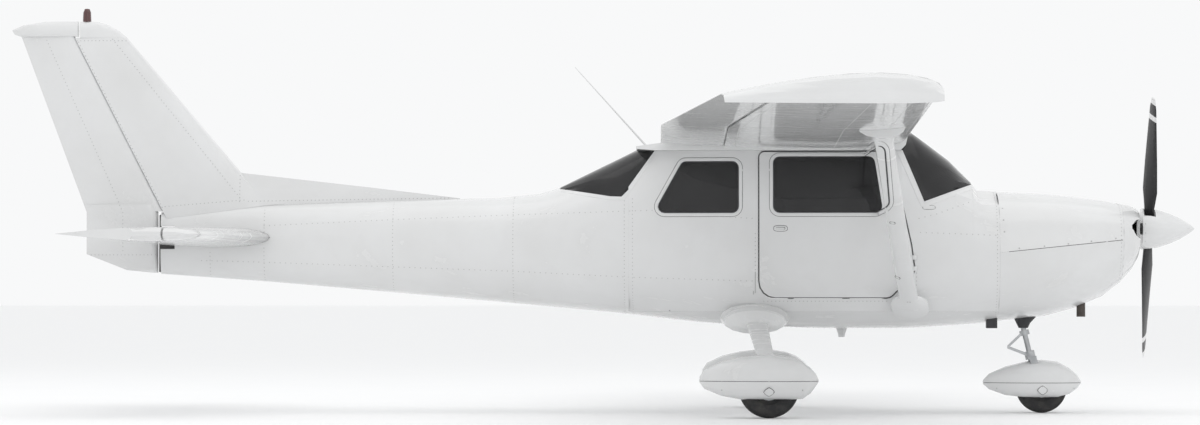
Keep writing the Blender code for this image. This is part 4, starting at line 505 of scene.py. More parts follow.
def add_rivets(name, spots, **sizes):
    """Rivets grouped by the body that each one sits on."""
    groups = {}
    for spot in spots:
        if spot:
            groups.setdefault(NODE_BODY[spot[2]], []).append(spot)
    for body, found in groups.items():
        label = f"{name}_{body}"
        # Every head takes the mid grey, which on the rivets is painted shade.
        add_piece(label, heads_mesh(label, found, **sizes), body, "rivet_shade_and_screw_grey")


def ring_point(x, turn, side):
    """Where the body's skin is at x, at a turn in degrees from straight down."""
    out = Vector((0.0, side * math.sin(math.radians(turn)), -math.cos(math.radians(turn))))
    return BODY_SKIN.meet(Vector((x, 0.0, RING_MIDDLE_Z)) + out * FAR, -out)


def ring_spots(x, low, high, pitch):
    """Rivets round the body at x on both sides, evenly spaced by their distance on the skin."""
    found = []
    for side, _ in SIDES:
        passed = 0.0
        last = None
        for step in range(RING_STEPS + 1):
            spot = ring_point(x, low + (high - low) * step / RING_STEPS, side)
            if spot is None:
                last = None
                continue
            if last is not None:
                passed += (spot[0] - last).length
            last = spot[0]
            if passed >= pitch:
                passed -= pitch
                if spot[2] in BODY_SHEETS:
                    found.append(spot)
    return found


def body_rivets():
    found = []
    for x, low, high, pitch in BODY_RINGS:
        found.extend(ring_spots(x, low, high, pitch))
    for points, pitch in SIDE_LINES:
        flat = [(x, 0.0, z) for x, z in points]
        for side, _ in SIDES:
            found.extend(side_spot(point.x, point.z, side) for point in along(flat, pitch))
    for points, pitch in BELLY_LINES:
        flat = [(x, y, 0.0) for x, y in points]
        for mirror in (1, -1):
            found.extend(below_spot(point.x, mirror * point.y) for point in along(flat, pitch))
    add_rivets("rivets_body", found)


# Wing plan: y, leading edge x, trailing edge x. The rows run at shares of the chord, the ribs at fixed y
WING_PLAN = ((0.545, 2.105, 0.430), (2.556, 2.100, 0.470), (5.290, 2.088, 0.850))
WING_ROWS = (0.035, 0.125, 0.300, 0.700)
WING_RIBS = (0.74, 1.14, 1.54, 1.94, 2.34, 2.57, 2.96, 3.36, 3.76, 4.16, 4.56, 4.96, 5.32)
RIB_SHARES = (0.02, 0.97)
TAIL_PLAN = ((0.120, -2.265, -3.470), (1.556, -2.560, -3.480))
TAIL_ROWS = (0.05, 0.55, 0.82)
TAIL_RIBS = (0.42, 0.80, 1.18, 1.53)
# Fin and rudder rows: x and z of their points
FIN_LINES = (
    ((-3.391, 2.590), (-2.500, 1.488)),
    ((-3.854, 2.585), (-3.315, 1.385), (-3.315, 1.120)),
    ((-3.630, 2.570), (-3.040, 1.420)),
    ((-2.470, 1.470), (-3.020, 1.425)),
    ((-2.500, 1.640), (-2.500, 1.460)),
    ((-3.300, 2.580), (-3.640, 2.580)),
    ((-3.060, 1.090), (-3.540, 1.090)),
    ((-1.050, 1.484), (-2.440, 1.462)),
)
WING_SHEETS = ("wing_left", "wing_right", "flap_left", "flap_right", "aileron_left", "aileron_right")
TAIL_SHEETS = ("tailplane", "elevator", "elevator_tab")
FIN_SHEETS = ("fin", "rudder", "tail_cone")
WING_SKIN = Skin(WING_SHEETS + ("strut_left", "strut_right", "cabin_side_left", "cabin_side_right"))
TAIL_SKIN = Skin(TAIL_SHEETS + ("tail_cone", "fin", "rudder"))
FIN_SKIN = Skin(FIN_SHEETS + ("tailplane", "elevator", "fin_cap"))


def plan_at(plan, y):
    """Leading and trailing edge x at y."""
    for (y0, fore0, aft0), (y1, fore1, aft1) in zip(plan, plan[1:]):
        if y <= y1:
            break
    share = (y - y0) / (y1 - y0)
    return fore0 + (fore1 - fore0) * share, aft0 + (aft1 - aft0) * share


def plan_rivets(name, skin, plan, rows, ribs, sheets):
    """Rivet rows along and across a wing or tailplane, above and below, port and starboard."""
    flat = []
    for y in ribs:
        fore, aft = plan_at(plan, y)
        ends = [(fore + (aft - fore) * share, y, 0.0) for share in RIB_SHARES]
        flat.extend(steps_between(*ends, WIDE_PITCH))
    for share in rows:
        line = [(fore + (aft - fore) * share, y, 0.0) for y, fore, aft in plan]
        flat.extend(along(line, WIDE_PITCH))
    found = []
    for point in flat:
        for side, _ in SIDES:
            for up in (1, -1):
                found.append(skin.meet((point.x, side * point.y, up * FAR), (0, 0, -up), sheets))
    add_rivets(name, found)


def fin_rivets():
    found = []
    for line in FIN_LINES:
        for point in along([(x, 0.0, z) for x, z in line], RIVET_PITCH):
            for side, _ in SIDES:
                found.append(FIN_SKIN.meet((point.x, side * FAR, point.z), (0, -side, 0), FIN_SHEETS))
    add_rivets("rivets_fin", found)


# Bands: a thin raised strip that follows a path on the skin
def band_mesh(name, spots, profile, closed):
    """Sweeps a profile of (across, up) pairs along spots on the skin."""
    bm = bmesh.new()
    count = len(spots)
    rows = []
    for number, (place, normal, _) in enumerate(spots):
        before = spots[number - 1][0] if closed or number else place
        after = spots[(number + 1) % count][0] if closed or number < count - 1 else place
        run = (after - before).normalized()
        across = normal.cross(run).normalized()
        rows.append([bm.verts.new(place + across * side + normal * up) for side, up in profile])
    last = count if closed else count - 1
    width = len(profile)
    for number in range(last):
        row = rows[number]
        after = rows[(number + 1) % count]
        for step in range(width):
            follow = (step + 1) % width
            bm.faces.new((row[step], after[step], after[follow], row[follow]))
    if not closed:
        bm.faces.new(rows[0])
        bm.faces.new(reversed(rows[-1]))
    bmesh.ops.recalc_face_normals(bm, faces=bm.faces)
    mesh = bpy.data.meshes.new(name)
    bm.to_mesh(mesh)
    bm.free()
    return mesh


def flat_profile(width, rise, sink=0.0015):
    """A strip with eased edges."""
    half = width / 2
    ease = min(rise * 0.7, half * 0.4)
    return ((-half, -sink), (-half, rise - ease), (-half + ease, rise), (half - ease, rise), (half, rise - ease), (half, -sink))


def add_band(name, spots, profile, finish, closed=False, carrier=None):
    """A band that rides with its carrier node, or else with the node under its middle."""
    spots = [spot for spot in spots if spot]
    body = NODE_BODY[carrier or spots[len(spots) // 2][2]]
    obj = add_piece(name, band_mesh(name, spots, profile, closed), body, finish)
    smooth_shading(obj)
    return obj


def rounded(corners, radii, grow=0.0, steps=6):
    """Corner points of a shape in x and z, rounded, and grown outwards."""
    count = len(corners)
    found = []
    for number in range(count):
        corner = Vector(corners[number])
        back = (Vector(corners[number - 1]) - corner).normalized()
        ahead = (Vector(corners[(number + 1) % count]) - corner).normalized()
        half = back.angle(ahead) / 2
        radius = radii[number]
        toward = (back + ahead).normalized()
        centre = corner + toward * (radius / math.sin(half))
        reach = radius / math.tan(half)
        start = corner + back * reach - centre
        turn = start.angle_signed(corner + ahead * reach - centre)
        for step in range(steps + 1):
            spot = start.copy()
            spot.rotate(Matrix.Rotation(-turn * step / steps, 2))
            spot = spot.normalized() * (radius + grow)
            found.append(centre + spot)
    return found


def close_path(points, pitch):
    """The closed path through the points, with a point at least every pitch."""
    found = []
    for start, end in zip(points, points[1:] + points[:1]):
        count = max(1, math.ceil((end - start).length / pitch))
        found.extend(start.lerp(end, number / count) for number in range(count))
    return found


# Side openings, as x and z corners, with their corner radius
DOOR_WINDOW = ((1.192, 1.368), (1.939, 1.368), (1.878, 1.753), (1.192, 1.753))
QUARTER_WINDOW = ((0.378, 1.368), (0.961, 1.368), (0.961, 1.721), (0.575, 1.721))
WINDOW_RADII = (0.045, 0.045, 0.045, 0.045)
# Bands round each side window: name, how far outside the opening, width, rise, finish, slot
WINDOW_BANDS = (
    ("rim", 0.0125, 0.0210, 0.0030, "white_paint", "white_paint"),
    ("shadow_line", 0.0245, 0.0030, 0.0008, "seam", "dark_trim"),
    ("gasket", -0.0040, 0.0090, 0.0030, "dark_trim", "dark_trim"),
)
BAND_PITCH = 0.030


def side_path(points, side, wanted=None, skin=BODY_SKIN):
    return [skin.meet((point.x, side * FAR, point.y), (0, -side, 0), wanted) for point in points]


def window_bands():
    for label, corners, panel in (
        ("door_window", DOOR_WINDOW, "door_"),
        ("quarter_window", QUARTER_WINDOW, "cabin_side_"),
    ):
        for side, word in SIDES:
            for kind, grow, width, rise, finish, slot in WINDOW_BANDS:
                path = close_path(rounded(corners, WINDOW_RADII, grow), BAND_PITCH)
                spots = side_path(path, side)
                profile = flat_profile(width, rise)
                name = f"{label}_{kind}_{word}"
                add_band(name, spots, profile, finish, closed=True, carrier=panel + word)


# Strips on one side: name, x and z of the points, width, rise, finish, slot
SIDE_STRIPS = (
    ("windscreen_retainer", ((2.048, 1.785), (2.206, 1.420), (2.225, 1.424), (2.540, 1.540)), 0.030, 0.0022,
     "white_paint", "white_paint"),
    ("rear_window_retainer", ((0.396, 1.780), (0.176, 1.468), (0.070, 1.470), (-0.255, 1.526)), 0.018, 0.0018,
     "white_paint", "white_paint"),
    ("cowl_seam", ((2.790, 1.104), (3.230, 1.150), (3.570, 1.185)), 0.0040, 0.0006, "seam", "dark_trim"),
)


def side_strips():
    for label, points, width, rise, finish, slot in SIDE_STRIPS:
        for side, word in SIDES:
            path = along([(x, z) for x, z in points], BAND_PITCH)
            spots = side_path(path, side)
            add_band(f"{label}_{word}", spots, flat_profile(width, rise), finish)


# Wheel fairings: node, parting line height, bead and line widths, points round it
POD_NODES = ("main_fairing_left", "main_fairing_right", "nose_fairing")
POD_PARTS = {"main_fairing_left": 0.244, "main_fairing_right": 0.244, "nose_fairing": 0.207}
POD_STEPS = 96
# height above the parting line, width, rise, finish, slot
POD_BANDS = (
    ("bead", 0.0075, 0.0110, 0.0018, "white_paint", "white_paint"),
    ("parting", 0.0, 0.0036, 0.0008, "seam", "dark_trim"),
)


def pod_bands():
    """The bead and dark line where each fairing's two halves meet."""
    for node in POD_NODES:
        low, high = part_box(node)
        middle = (low + high) / 2
        skin = Skin((node,))
        for kind, above, width, rise, finish, slot in POD_BANDS:
            spots = []
            for number in range(POD_STEPS):
                turn = 2 * math.pi * number / POD_STEPS
                z = POD_PARTS[node] + above
                out = Vector((math.cos(turn) * (high.x - low.x), math.sin(turn) * (high.y - low.y), 0)).normalized()
                start = Vector((middle.x, middle.y, z)) + out * FAR
                spots.append(skin.meet(start, -out))
            add_band(f"{node}_{kind}", spots, flat_profile(width, rise), finish, closed=True)


# Low plates, caps and domes that sit on the skin
def dome_mesh(name, spot, half_along, half_across, rise, rings=5, sides=24, lean=0.0, square=2.0):
    """A crowned plate on the skin: an oval, or squarer with a higher power. Flat below, closed."""
    place, normal, _ = spot
    forward = Vector((1, 0, 0)) - normal * normal.x
    forward.normalize()
    up = normal.cross(forward)
    forward, up = (
        forward * math.cos(lean) + up * math.sin(lean),
        up * math.cos(lean) - forward * math.sin(lean),
    )
    bm = bmesh.new()
    loops = []
    for ring in range(rings):
        share = ring / rings
        height = rise * math.sin(share * math.pi / 2)
        reach = math.cos(share * math.pi / 2)
        loop = []
        for number in range(sides):
            turn = 2 * math.pi * number / sides
            power = 2 / square
            along_part = math.copysign(abs(math.cos(turn)) ** power, math.cos(turn)) * half_along * reach
            across_part = math.copysign(abs(math.sin(turn)) ** power, math.sin(turn)) * half_across * reach
            loop.append(bm.verts.new(place + forward * along_part + up * across_part + normal * height))
        loops.append(loop)
    foot = [bm.verts.new(vertex.co - normal * DOME_SINK) for vertex in loops[0]]
    loops.insert(0, foot)
    for low, high in zip(loops, loops[1:]):
        for number in range(sides):
            after = (number + 1) % sides
            bm.faces.new((low[number], low[after], high[after], high[number]))
    top = bm.verts.new(place + normal * rise)
    for number in range(sides):
        bm.faces.new((loops[-1][number], loops[-1][(number + 1) % sides], top))
    bm.faces.new(reversed(foot))
    bmesh.ops.recalc_face_normals(bm, faces=bm.faces)
    mesh = bpy.data.meshes.new(name)
    bm.to_mesh(mesh)
    bm.free()
    return mesh


DOME_SINK = 0.004
# Domes and plates on the body's sides: name, x, z, half length, half height, rise, squareness, finish
SIDE_DOMES = (
    ("hinge_cap_high", 1.958, 1.280, 0.017, 0.013, 0.0035, 2.0, "white_paint"),
    ("hinge_cap_low", 2.018, 0.927, 0.017, 0.013, 0.0035, 2.0, "white_paint"),
    ("handle_plate", 1.243, 1.263, 0.046, 0.019, 0.0030, 3.0, "white_paint"),
    # The well is a dark dome between the plate and the paddle: painted shade in the handle's recess, so the white
    # paddle shows against it.
    ("handle_well_shade", 1.243, 1.263, 0.038, 0.0125, 0.0040, 4.0, "seam"),
    ("handle_paddle", 1.240, 1.262, 0.033, 0.0085, 0.0085, 4.0, "white_paint"),
    ("side_plate", 2.248, 1.404, 0.042, 0.013, 0.0022, 4.0, "white_paint"),
)
# Thin dark outlines under some of those plates: name, x, z, half length, half height
SIDE_SHADOWS = (
    ("hinge_shadow_high", 1.958, 1.280, 0.020, 0.016),
    ("hinge_shadow_low", 2.018, 0.927, 0.020, 0.016),
    ("handle_shadow", 1.243, 1.263, 0.049, 0.022),
    ("plate_shadow", 2.248, 1.404, 0.0445, 0.0155),
)
SHADOW_RISE = 0.0006


def side_domes():
    for side, word in SIDES:
        for label, x, z, half_x, half_z, rise, square, finish in SIDE_DOMES:
            spot = side_spot(x, z, side, None)
            mesh = dome_mesh(f"{label}_{word}", spot, half_x, half_z, rise, square=square)
            add_piece(f"{label}_{word}", mesh, NODE_BODY[spot[2]], finish)
        for label, x, z, half_x, half_z in SIDE_SHADOWS:
            spot = side_spot(x, z, side, None)
            mesh = dome_mesh(f"{label}_{word}", spot, half_x, half_z, SHADOW_RISE, square=3.0)
            add_piece(f"{label}_{word}", mesh, NODE_BODY[spot[2]], "seam")


# Screws on the body's sides, as x and z
SIDE_SCREWS = (
    (2.860, 1.128), (3.031, 1.142), (3.194, 1.158), (3.351, 1.176), (3.521, 1.196),
    (2.760, 1.240), (2.756, 1.320), (2.752, 1.400), (2.098, 0.764), (2.114, 0.764),
)
SCREW_RADIUS = 0.0065
SCREW_RISE = 0.0016
SCREW_SIDES = 12
SPINNER_SCREWS = 14
SPINNER_SCREW_X = 3.750
POD_SCREWS = ((-0.030, 0.0), (0.030, 0.0), (0.0, 0.026), (0.0, -0.026), (-0.310, 0.012), (0.220, 0.012))
POD_CAP = (0.034, 0.030, 0.0028)
POD_CAP_DROP = {"main_fairing_left": 0.069, "main_fairing_right": 0.069, "nose_fairing": 0.050}


def screws():
    found = []
    for side, _ in SIDES:
        found.extend(side_spot(x, z, side, None) for x, z in SIDE_SCREWS)
    add_rivets("screws_body", found, radius=SCREW_RADIUS, rise=SCREW_RISE, sides=SCREW_SIDES)
    cone = Skin(("spinner",))
    ring = []
    for number in range(SPINNER_SCREWS):
        turn = 2 * math.pi * number / SPINNER_SCREWS
        out = Vector((0, math.sin(turn), math.cos(turn)))
        ring.append(cone.meet(Vector((SPINNER_SCREW_X, 0, SHAFT_Z)) + out, -out))
    add_rivets("screws_spinner", ring, radius=0.004, rise=SCREW_RISE, sides=SCREW_SIDES)


def pod_caps():
    """The small diamond cap over each wheel's axle end, with its screws."""
    for node in POD_NODES:
        skin = Skin((node,))
        low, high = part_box(node)
        axle = AXLE_X[node]
        z = POD_PARTS[node] - POD_CAP_DROP[node]
        middle = (low.y + high.y) / 2
        for side, word in SIDES:
            spot = skin.meet((axle, middle + side, z), (0, -side, 0))
            half_x, half_z, rise = POD_CAP
            label = f"{node}_cap_{word}"
            mesh = dome_mesh(label, spot, half_x, half_z, rise, square=1.3)
            add_piece(label, mesh, NODE_BODY[node], "white_paint")
            # A dark outline just wider than the cap: painted shadow under the cap's rim.
            mesh = dome_mesh(label + "_line", spot, half_x + 0.003, half_z + 0.003, SHADOW_RISE, square=1.3)
            add_piece(label + "_line", mesh, NODE_BODY[node], "seam")
            heads = [skin.meet((axle + x, middle + side, z + up), (0, -side, 0)) for x, up in POD_SCREWS]
            heads = [(place + normal * rise * 0.5, normal, owner) for place, normal, owner in filter(None, heads)]
            add_rivets(label + "_screws", heads, radius=0.0045, rise=SCREW_RISE, sides=SCREW_SIDES)


AXLE_X = {"main_fairing_left": 1.156, "main_fairing_right": 1.156, "nose_fairing": 3.044}


# Turned pieces: a section swept round an axis
def turned_mesh(name, section, centre, axis, steps, closed=True):
    """Sweeps (radius, along) points round the axis through the centre."""
    turn = frame_at(Vector(axis))
    bm = bmesh.new()
    rows = []
    for radius, reach in section:
        row = []
        for number in range(steps):
            angle = 2 * math.pi * number / steps
            local = Vector((radius * math.cos(angle), radius * math.sin(angle), reach))
            row.append(bm.verts.new(Vector(centre) + turn @ local))
        rows.append(row)
    pairs = list(zip(rows, rows[1:] + rows[:1])) if closed else list(zip(rows, rows[1:]))
    for low, high in pairs:
        for number in range(steps):
            after = (number + 1) % steps
            bm.faces.new((low[number], low[after], high[after], high[number]))
    if not closed:
        bm.faces.new(rows[0])
        bm.faces.new(reversed(rows[-1]))
    bmesh.ops.recalc_face_normals(bm, faces=bm.faces)
    mesh = bpy.data.meshes.new(name)
    bm.to_mesh(mesh)
    bm.free()
    return mesh


# Tyres: name of the node, axle place, radius, half width, bead radius
TYRES = (
    ("main_left_tyre", (1.156, 1.270, 0.200), 0.200, 0.076, 0.0823),
    ("main_right_tyre", (1.156, -1.270, 0.200), 0.200, 0.076, 0.0823),
    ("nose_tyre", (3.044, 0.000, 0.175), 0.175, 0.062, 0.0703),
)
TYRE_ROUND = 96
GROOVES = (0.10, 0.34, 0.58)
GROOVE_HALF = 0.035
GROOVE_DEPTH = 0.006
# Shoulder and side wall: share of the radius, share of the half width
SIDE_WALL = (
    (0.955, 0.74), (0.925, 0.84), (0.885, 0.90), (0.880, 0.93), (0.820, 0.975), (0.740, 1.000), (0.660, 0.990),
    (0.590, 0.950), (0.575, 0.965), (0.545, 0.950), (0.520, 0.880),
)


def tread_height(share):
    """Share of the radius at a share of the half width, across the crown."""
    return 1.0 - 0.045 * (share / 0.74) ** 2.4


def tyre_section(radius, half, bead):
    port = []
    for groove in GROOVES:
        for share, depth in ((-1.0, 0.0), (-0.7, 1.0), (0.7, 1.0), (1.0, 0.0)):
            across = groove + GROOVE_HALF * share
            port.append((radius * tread_height(across) - GROOVE_DEPTH * depth, half * across))
    port.extend((radius * share, half * width) for share, width in SIDE_WALL)
    port = [(max(reach, bead), across) for reach, across in port]
    port.append((bead, port[-1][1] * 0.92))
    return port + [(reach, -across) for reach, across in reversed(port)]


def tyres():
    for node, centre, radius, half, bead in TYRES:
        section = tyre_section(radius, half, bead)
        mesh = turned_mesh(node + "_treaded", section, centre, (0, 1, 0), TYRE_ROUND)
        obj = add_piece(node + "_treaded", mesh, NODE_BODY[node], "tyre_rubber")
        smooth_shading(obj)
        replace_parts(obj, node)


# Wheel nuts: node that they follow, ring radius, count
RIM_NUTS = (("main_left_rim", 1.0, 0.058, 6), ("main_right_rim", -1.0, 0.058, 6), ("nose_rim", 1.0, 0.048, 6))


def rim_nuts():
    for node, outer, reach, count in RIM_NUTS:
        low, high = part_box(node)
        middle = (low + high) / 2
        skin = Skin((node,))
        found = []
        for number in range(count):
            turn = 2 * math.pi * number / count
            for side in (1, -1):
                start = middle + Vector((reach * math.cos(turn), side, reach * math.sin(turn)))
                found.append(skin.meet(start, (0, -side, 0)))
        add_rivets(node + "_nuts", found, radius=0.0085, rise=0.008, sides=6)


# Dark seals that close the gaps between moving panels and the body
def slab_mesh(name, outline, low_y, high_y, ease):
    """A flat slab of an x and z outline, with eased edges."""
    bm = bmesh.new()
    near = [bm.verts.new((x, low_y, z)) for x, z in outline]
    far = [bm.verts.new((x, high_y, z)) for x, z in outline]
    count = len(outline)
    for number in range(count):
        after = (number + 1) % count
        bm.faces.new((near[number], near[after], far[after], far[number]))
    bm.faces.new(reversed(near))
    bm.faces.new(far)
    bmesh.ops.recalc_face_normals(bm, faces=bm.faces)
    bmesh.ops.bevel(bm, geom=bm.edges[:], offset=ease, segments=2, affect="EDGES")
    mesh = bpy.data.meshes.new(name)
    bm.to_mesh(mesh)
    bm.free()
    return mesh


TAIL_SEALS = (
    ("tail_seal_low", ((-3.0665, 0.972), (-3.0503, 0.968), (-3.0503, 1.124), (-2.932, 1.124), (-2.932, 1.175),
                       (-3.0665, 1.175))),
    ("tail_seal_high", ((-3.0650, 1.246), (-3.0503, 1.246), (-3.0503, 1.372), (-3.0650, 1.366))),
)
TAIL_SEAL_HALF = 0.003
SEAL_EASE = 0.001
DOOR_OUTLINE = ((1.100, 0.795), (1.985, 0.795), (2.150, 0.965), (2.125, 1.150), (1.985, 1.783), (1.100, 1.783))
DOOR_RADII = (0.110, 0.060, 0.080, 0.200, 0.035, 0.035)
DOOR_SEAL_OUT = 0.0048
DOOR_SEAL_HALF = 0.0040
DOOR_SEAL_DEPTH = (-0.012, -0.005)
FRAME_OFFSET = 0.014


def seals():
    for label, outline in TAIL_SEALS:
        mesh = slab_mesh(label, outline, -TAIL_SEAL_HALF, TAIL_SEAL_HALF, SEAL_EASE)
        add_piece(label, mesh, "airframe", "seam", smooth=False)
    low, high = DOOR_SEAL_DEPTH
    profile = ((-DOOR_SEAL_HALF, low), (-DOOR_SEAL_HALF, high), (0.0, high + SEAL_EASE), (DOOR_SEAL_HALF, high),
               (DOOR_SEAL_HALF, low))
    gap_line = close_path(rounded(DOOR_OUTLINE, DOOR_RADII, DOOR_SEAL_OUT), BAND_PITCH)
    frame_line = close_path(rounded(DOOR_OUTLINE, DOOR_RADII, FRAME_OFFSET), BAND_PITCH)
    for side, word in SIDES:
        panel = Skin(("cabin_side_" + word, "cabin_roof", "wing_" + word))
        spots = []
        for gap_point in gap_line:
            near = min(frame_line, key=lambda point: (point - gap_point).length)
            found = panel.meet((near.x, side * FAR, near.y), (0, -side, 0), ("cabin_side_" + word,))
            if found:
                spots.append((Vector((gap_point.x, found[0].y, gap_point.y)), found[1], found[2]))
        add_band("door_seal_" + word, spots, profile, "seam", closed=True)


# Seats: crowned cushions whose sides pull in between their corners
CUSHION_GRID = (14, 12)
PULL_IN = 0.012
PIPING_RADIUS = 0.0045


def cushion_mesh(name, corner, along_edge, across_edge, thick_edge, crown, channels):
    """A padded slab from a corner and three edges. Its upper face swells by crown, with sewn channels."""
    corner, along_edge, across_edge, thick_edge = map(Vector, (corner, along_edge, across_edge, thick_edge))
    normal = thick_edge.normalized()
    wide, deep = CUSHION_GRID
    bm = bmesh.new()
    layers = []
    for level in (0.0, 0.12, 0.5, 0.86, 1.0):
        layer = []
        pinch = 0.10 * (2 * abs(level - 0.5)) ** 6
        for i in range(wide + 1):
            row = []
            for j in range(deep + 1):
                u = i / wide
                v = j / deep
                bow_u = PULL_IN * math.sin(math.pi * v) * (1 - 2 * u) / along_edge.length
                bow_v = PULL_IN * math.sin(math.pi * u) * (1 - 2 * v) / across_edge.length
                su = u + bow_u + pinch * (0.5 - u) * 0.35
                sv = v + bow_v + pinch * (0.5 - v) * 0.35
                swell = (1 - abs(2 * u - 1) ** 3.0) * (1 - abs(2 * v - 1) ** 3.0)
                rise = 0.0
                if level > 0.5:
                    groove = 0.5 - 0.5 * math.cos(2 * math.pi * channels * v)
                    rise = (swell * crown * (0.72 + 0.28 * groove) - crown * 0.45 * (1 - swell)) * (level - 0.5) * 2
                spot = corner + along_edge * su + across_edge * sv + thick_edge * level * 0.86 + normal * rise
                row.append(spot)
            layer.append(row)
        layers.append(layer)
    shell_points = {}

    def vertex(k, i, j):
        key = (k, i, j)
        if key not in shell_points:
            shell_points[key] = bm.verts.new(layers[k][i][j])
        return shell_points[key]

    top = len(layers) - 1
    for i in range(wide):
        for j in range(deep):
            bm.faces.new([vertex(0, a, b) for a, b in ((i, j), (i, j + 1), (i + 1, j + 1), (i + 1, j))])
            bm.faces.new([vertex(top, a, b) for a, b in ((i, j), (i + 1, j), (i + 1, j + 1), (i, j + 1))])
    rim = [(i, 0) for i in range(wide)] + [(wide, j) for j in range(deep)]
    rim += [(i, deep) for i in range(wide, 0, -1)] + [(0, j) for j in range(deep, 0, -1)]
    for k in range(top):
        for (i, j), (m, n) in zip(rim, rim[1:] + rim[:1]):
            bm.faces.new((vertex(k, i, j), vertex(k, m, n), vertex(k + 1, m, n), vertex(k + 1, i, j)))
    bmesh.ops.recalc_face_normals(bm, faces=bm.faces)
    seam = [layers[3][i][j] for i, j in rim]
    mesh = bpy.data.meshes.new(name)
    bm.to_mesh(mesh)
    bm.free()
    return mesh, seam


def tube_mesh(name, points, radius, closed=False, sides=8):
    """A round tube along points."""
    bm = bmesh.new()
    rows = []
    count = len(points)
    for number, point in enumerate(points):
        before = points[number - 1] if closed or number else point
        after = points[(number + 1) % count] if closed or number < count - 1 else point
        turn = frame_at((after - before).normalized())
        row = []
        for step in range(sides):
            angle = 2 * math.pi * step / sides
            row.append(bm.verts.new(point + turn @ Vector((radius * math.cos(angle), radius * math.sin(angle), 0))))
        rows.append(row)
    last = count if closed else count - 1
    for number in range(last):
        row = rows[number]
        after_row = rows[(number + 1) % count]
        for step in range(sides):
            follow = (step + 1) % sides
            bm.faces.new((row[step], row[follow], after_row[follow], after_row[step]))
    if not closed:
        bm.faces.new(reversed(rows[0]))
        bm.faces.new(rows[-1])
    bmesh.ops.recalc_face_normals(bm, faces=bm.faces)
    mesh = bpy.data.meshes.new(name)
    bm.to_mesh(mesh)
    bm.free()
    return mesh


# Cushions: name, corner, edge along the channels, edge across them, thickness, crown, channels
FRONT_CUSHIONS = (
    ("seat_base", (1.300, -0.205, 0.9375), (0.500, 0, 0), (0, 0.410, 0), (0, 0, 0.115), 0.016, 4),
    ("seat_back", (1.255, -0.205, 1.010), (-0.085, 0, 0.470), (0, 0.410, 0), (0.105, 0, 0.020), 0.016, 4),
    ("head_rest", (1.165, -0.120, 1.495), (-0.012, 0, 0.076), (0, 0.240, 0), (0.060, 0, 0.010), 0.008, 1),
)
REAR_CUSHIONS = (
    ("bench_base", (0.545, -0.330, 0.925), (0.385, 0, 0), (0, 0.660, 0), (0, 0, 0.115), 0.014, 6),
    ("bench_back", (0.475, -0.330, 1.020), (-0.055, 0, 0.440), (0, 0.660, 0), (0.085, 0, 0.012), 0.014, 6),
)
FRONT_SEATS = (("left", 0.245), ("right", -0.245))
BENCH_FRAME = ((0.480, 0.7010), (0.900, 0.7010), (0.915, 0.924), (0.560, 0.924), (0.470, 1.010), (0.462, 1.010))


def add_cushion(label, shift, spec):
    _, corner, along_edge, across_edge, thick_edge, crown, channels = spec
    corner = Vector(corner) + Vector((0, shift, 0))
    mesh, seam = cushion_mesh(label, corner, along_edge, across_edge, thick_edge, crown, channels)
    obj = add_piece(label, mesh, "airframe", "seat_leather")
    round_off = obj.modifiers.new("round", "SUBSURF")
    round_off.levels = round_off.render_levels = 1
    piping = tube_mesh(label + "_piping", seam, PIPING_RADIUS, closed=True)
    add_piece(label + "_piping", piping, "airframe", "dark_trim")
    return obj


def seats():
    for word, shift in FRONT_SEATS:
        for spec in FRONT_CUSHIONS:
            obj = add_cushion(f"{spec[0]}_{word}", shift, spec)
            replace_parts(obj, "front_seat_" + word)
    for spec in REAR_CUSHIONS:
        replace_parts(add_cushion(spec[0], 0.0, spec), "rear_bench")
    mesh = slab_mesh("bench_frame", BENCH_FRAME, -0.31, 0.31, 0.004)
    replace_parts(add_piece("bench_frame", mesh, "airframe", "dark_trim", smooth=False), "rear_bench")


# Instrument panel: dials as y, height up the panel face, radius. The face leans, from its foot to its brow
PANEL_FOOT = Vector((2.2637, 0.0, 1.050))
PANEL_BROW = Vector((2.2395, 0.0, 1.440))
DIALS = (
    (0.340, 0.300, 0.040), (0.245, 0.300, 0.040), (0.150, 0.300, 0.040),
    (0.340, 0.200, 0.040), (0.245, 0.200, 0.040), (0.150, 0.200, 0.040),
    (-0.300, 0.290, 0.032), (-0.220, 0.290, 0.032), (-0.300, 0.210, 0.032), (-0.220, 0.210, 0.032),
)
DIAL_SECTION = ((0.70, 0.000), (1.00, 0.000), (1.06, 0.004), (1.00, 0.008), (0.88, 0.006), (0.84, 0.003))
DIAL_FACE = ((0.0001, 0.0035), (0.86, 0.0035), (0.86, 0.0005), (0.0001, 0.0005))
DIAL_SCALE = 0.040
DIAL_STEPS = 32
RADIO_STACK = ((0.060, 0.330), (0.060, 0.270), (0.060, 0.210), (0.060, 0.150))
RADIO_HALF = (0.080, 0.024, 0.008)
YOKES = (0.245, -0.245)
YOKE_X = 2.120
YOKE_Z = 1.190
YOKE_SHAPE = (
    (-0.125, 0.085), (-0.142, 0.050), (-0.140, 0.010), (-0.115, -0.022), (-0.060, -0.034), (0.0, -0.036),
    (0.060, -0.034), (0.115, -0.022), (0.140, 0.010), (0.142, 0.050), (0.125, 0.085),
)
YOKE_RADIUS = 0.0125
SHAFT_RADIUS = 0.011


def panel_spot(y, up):
    """A point on the panel's face at y, a height above its foot, and the way the face looks."""
    rise = (PANEL_BROW - PANEL_FOOT).normalized()
    look = Vector((-rise.z, 0.0, rise.x))
    return PANEL_FOOT + rise * up + Vector((0, y, 0)), look


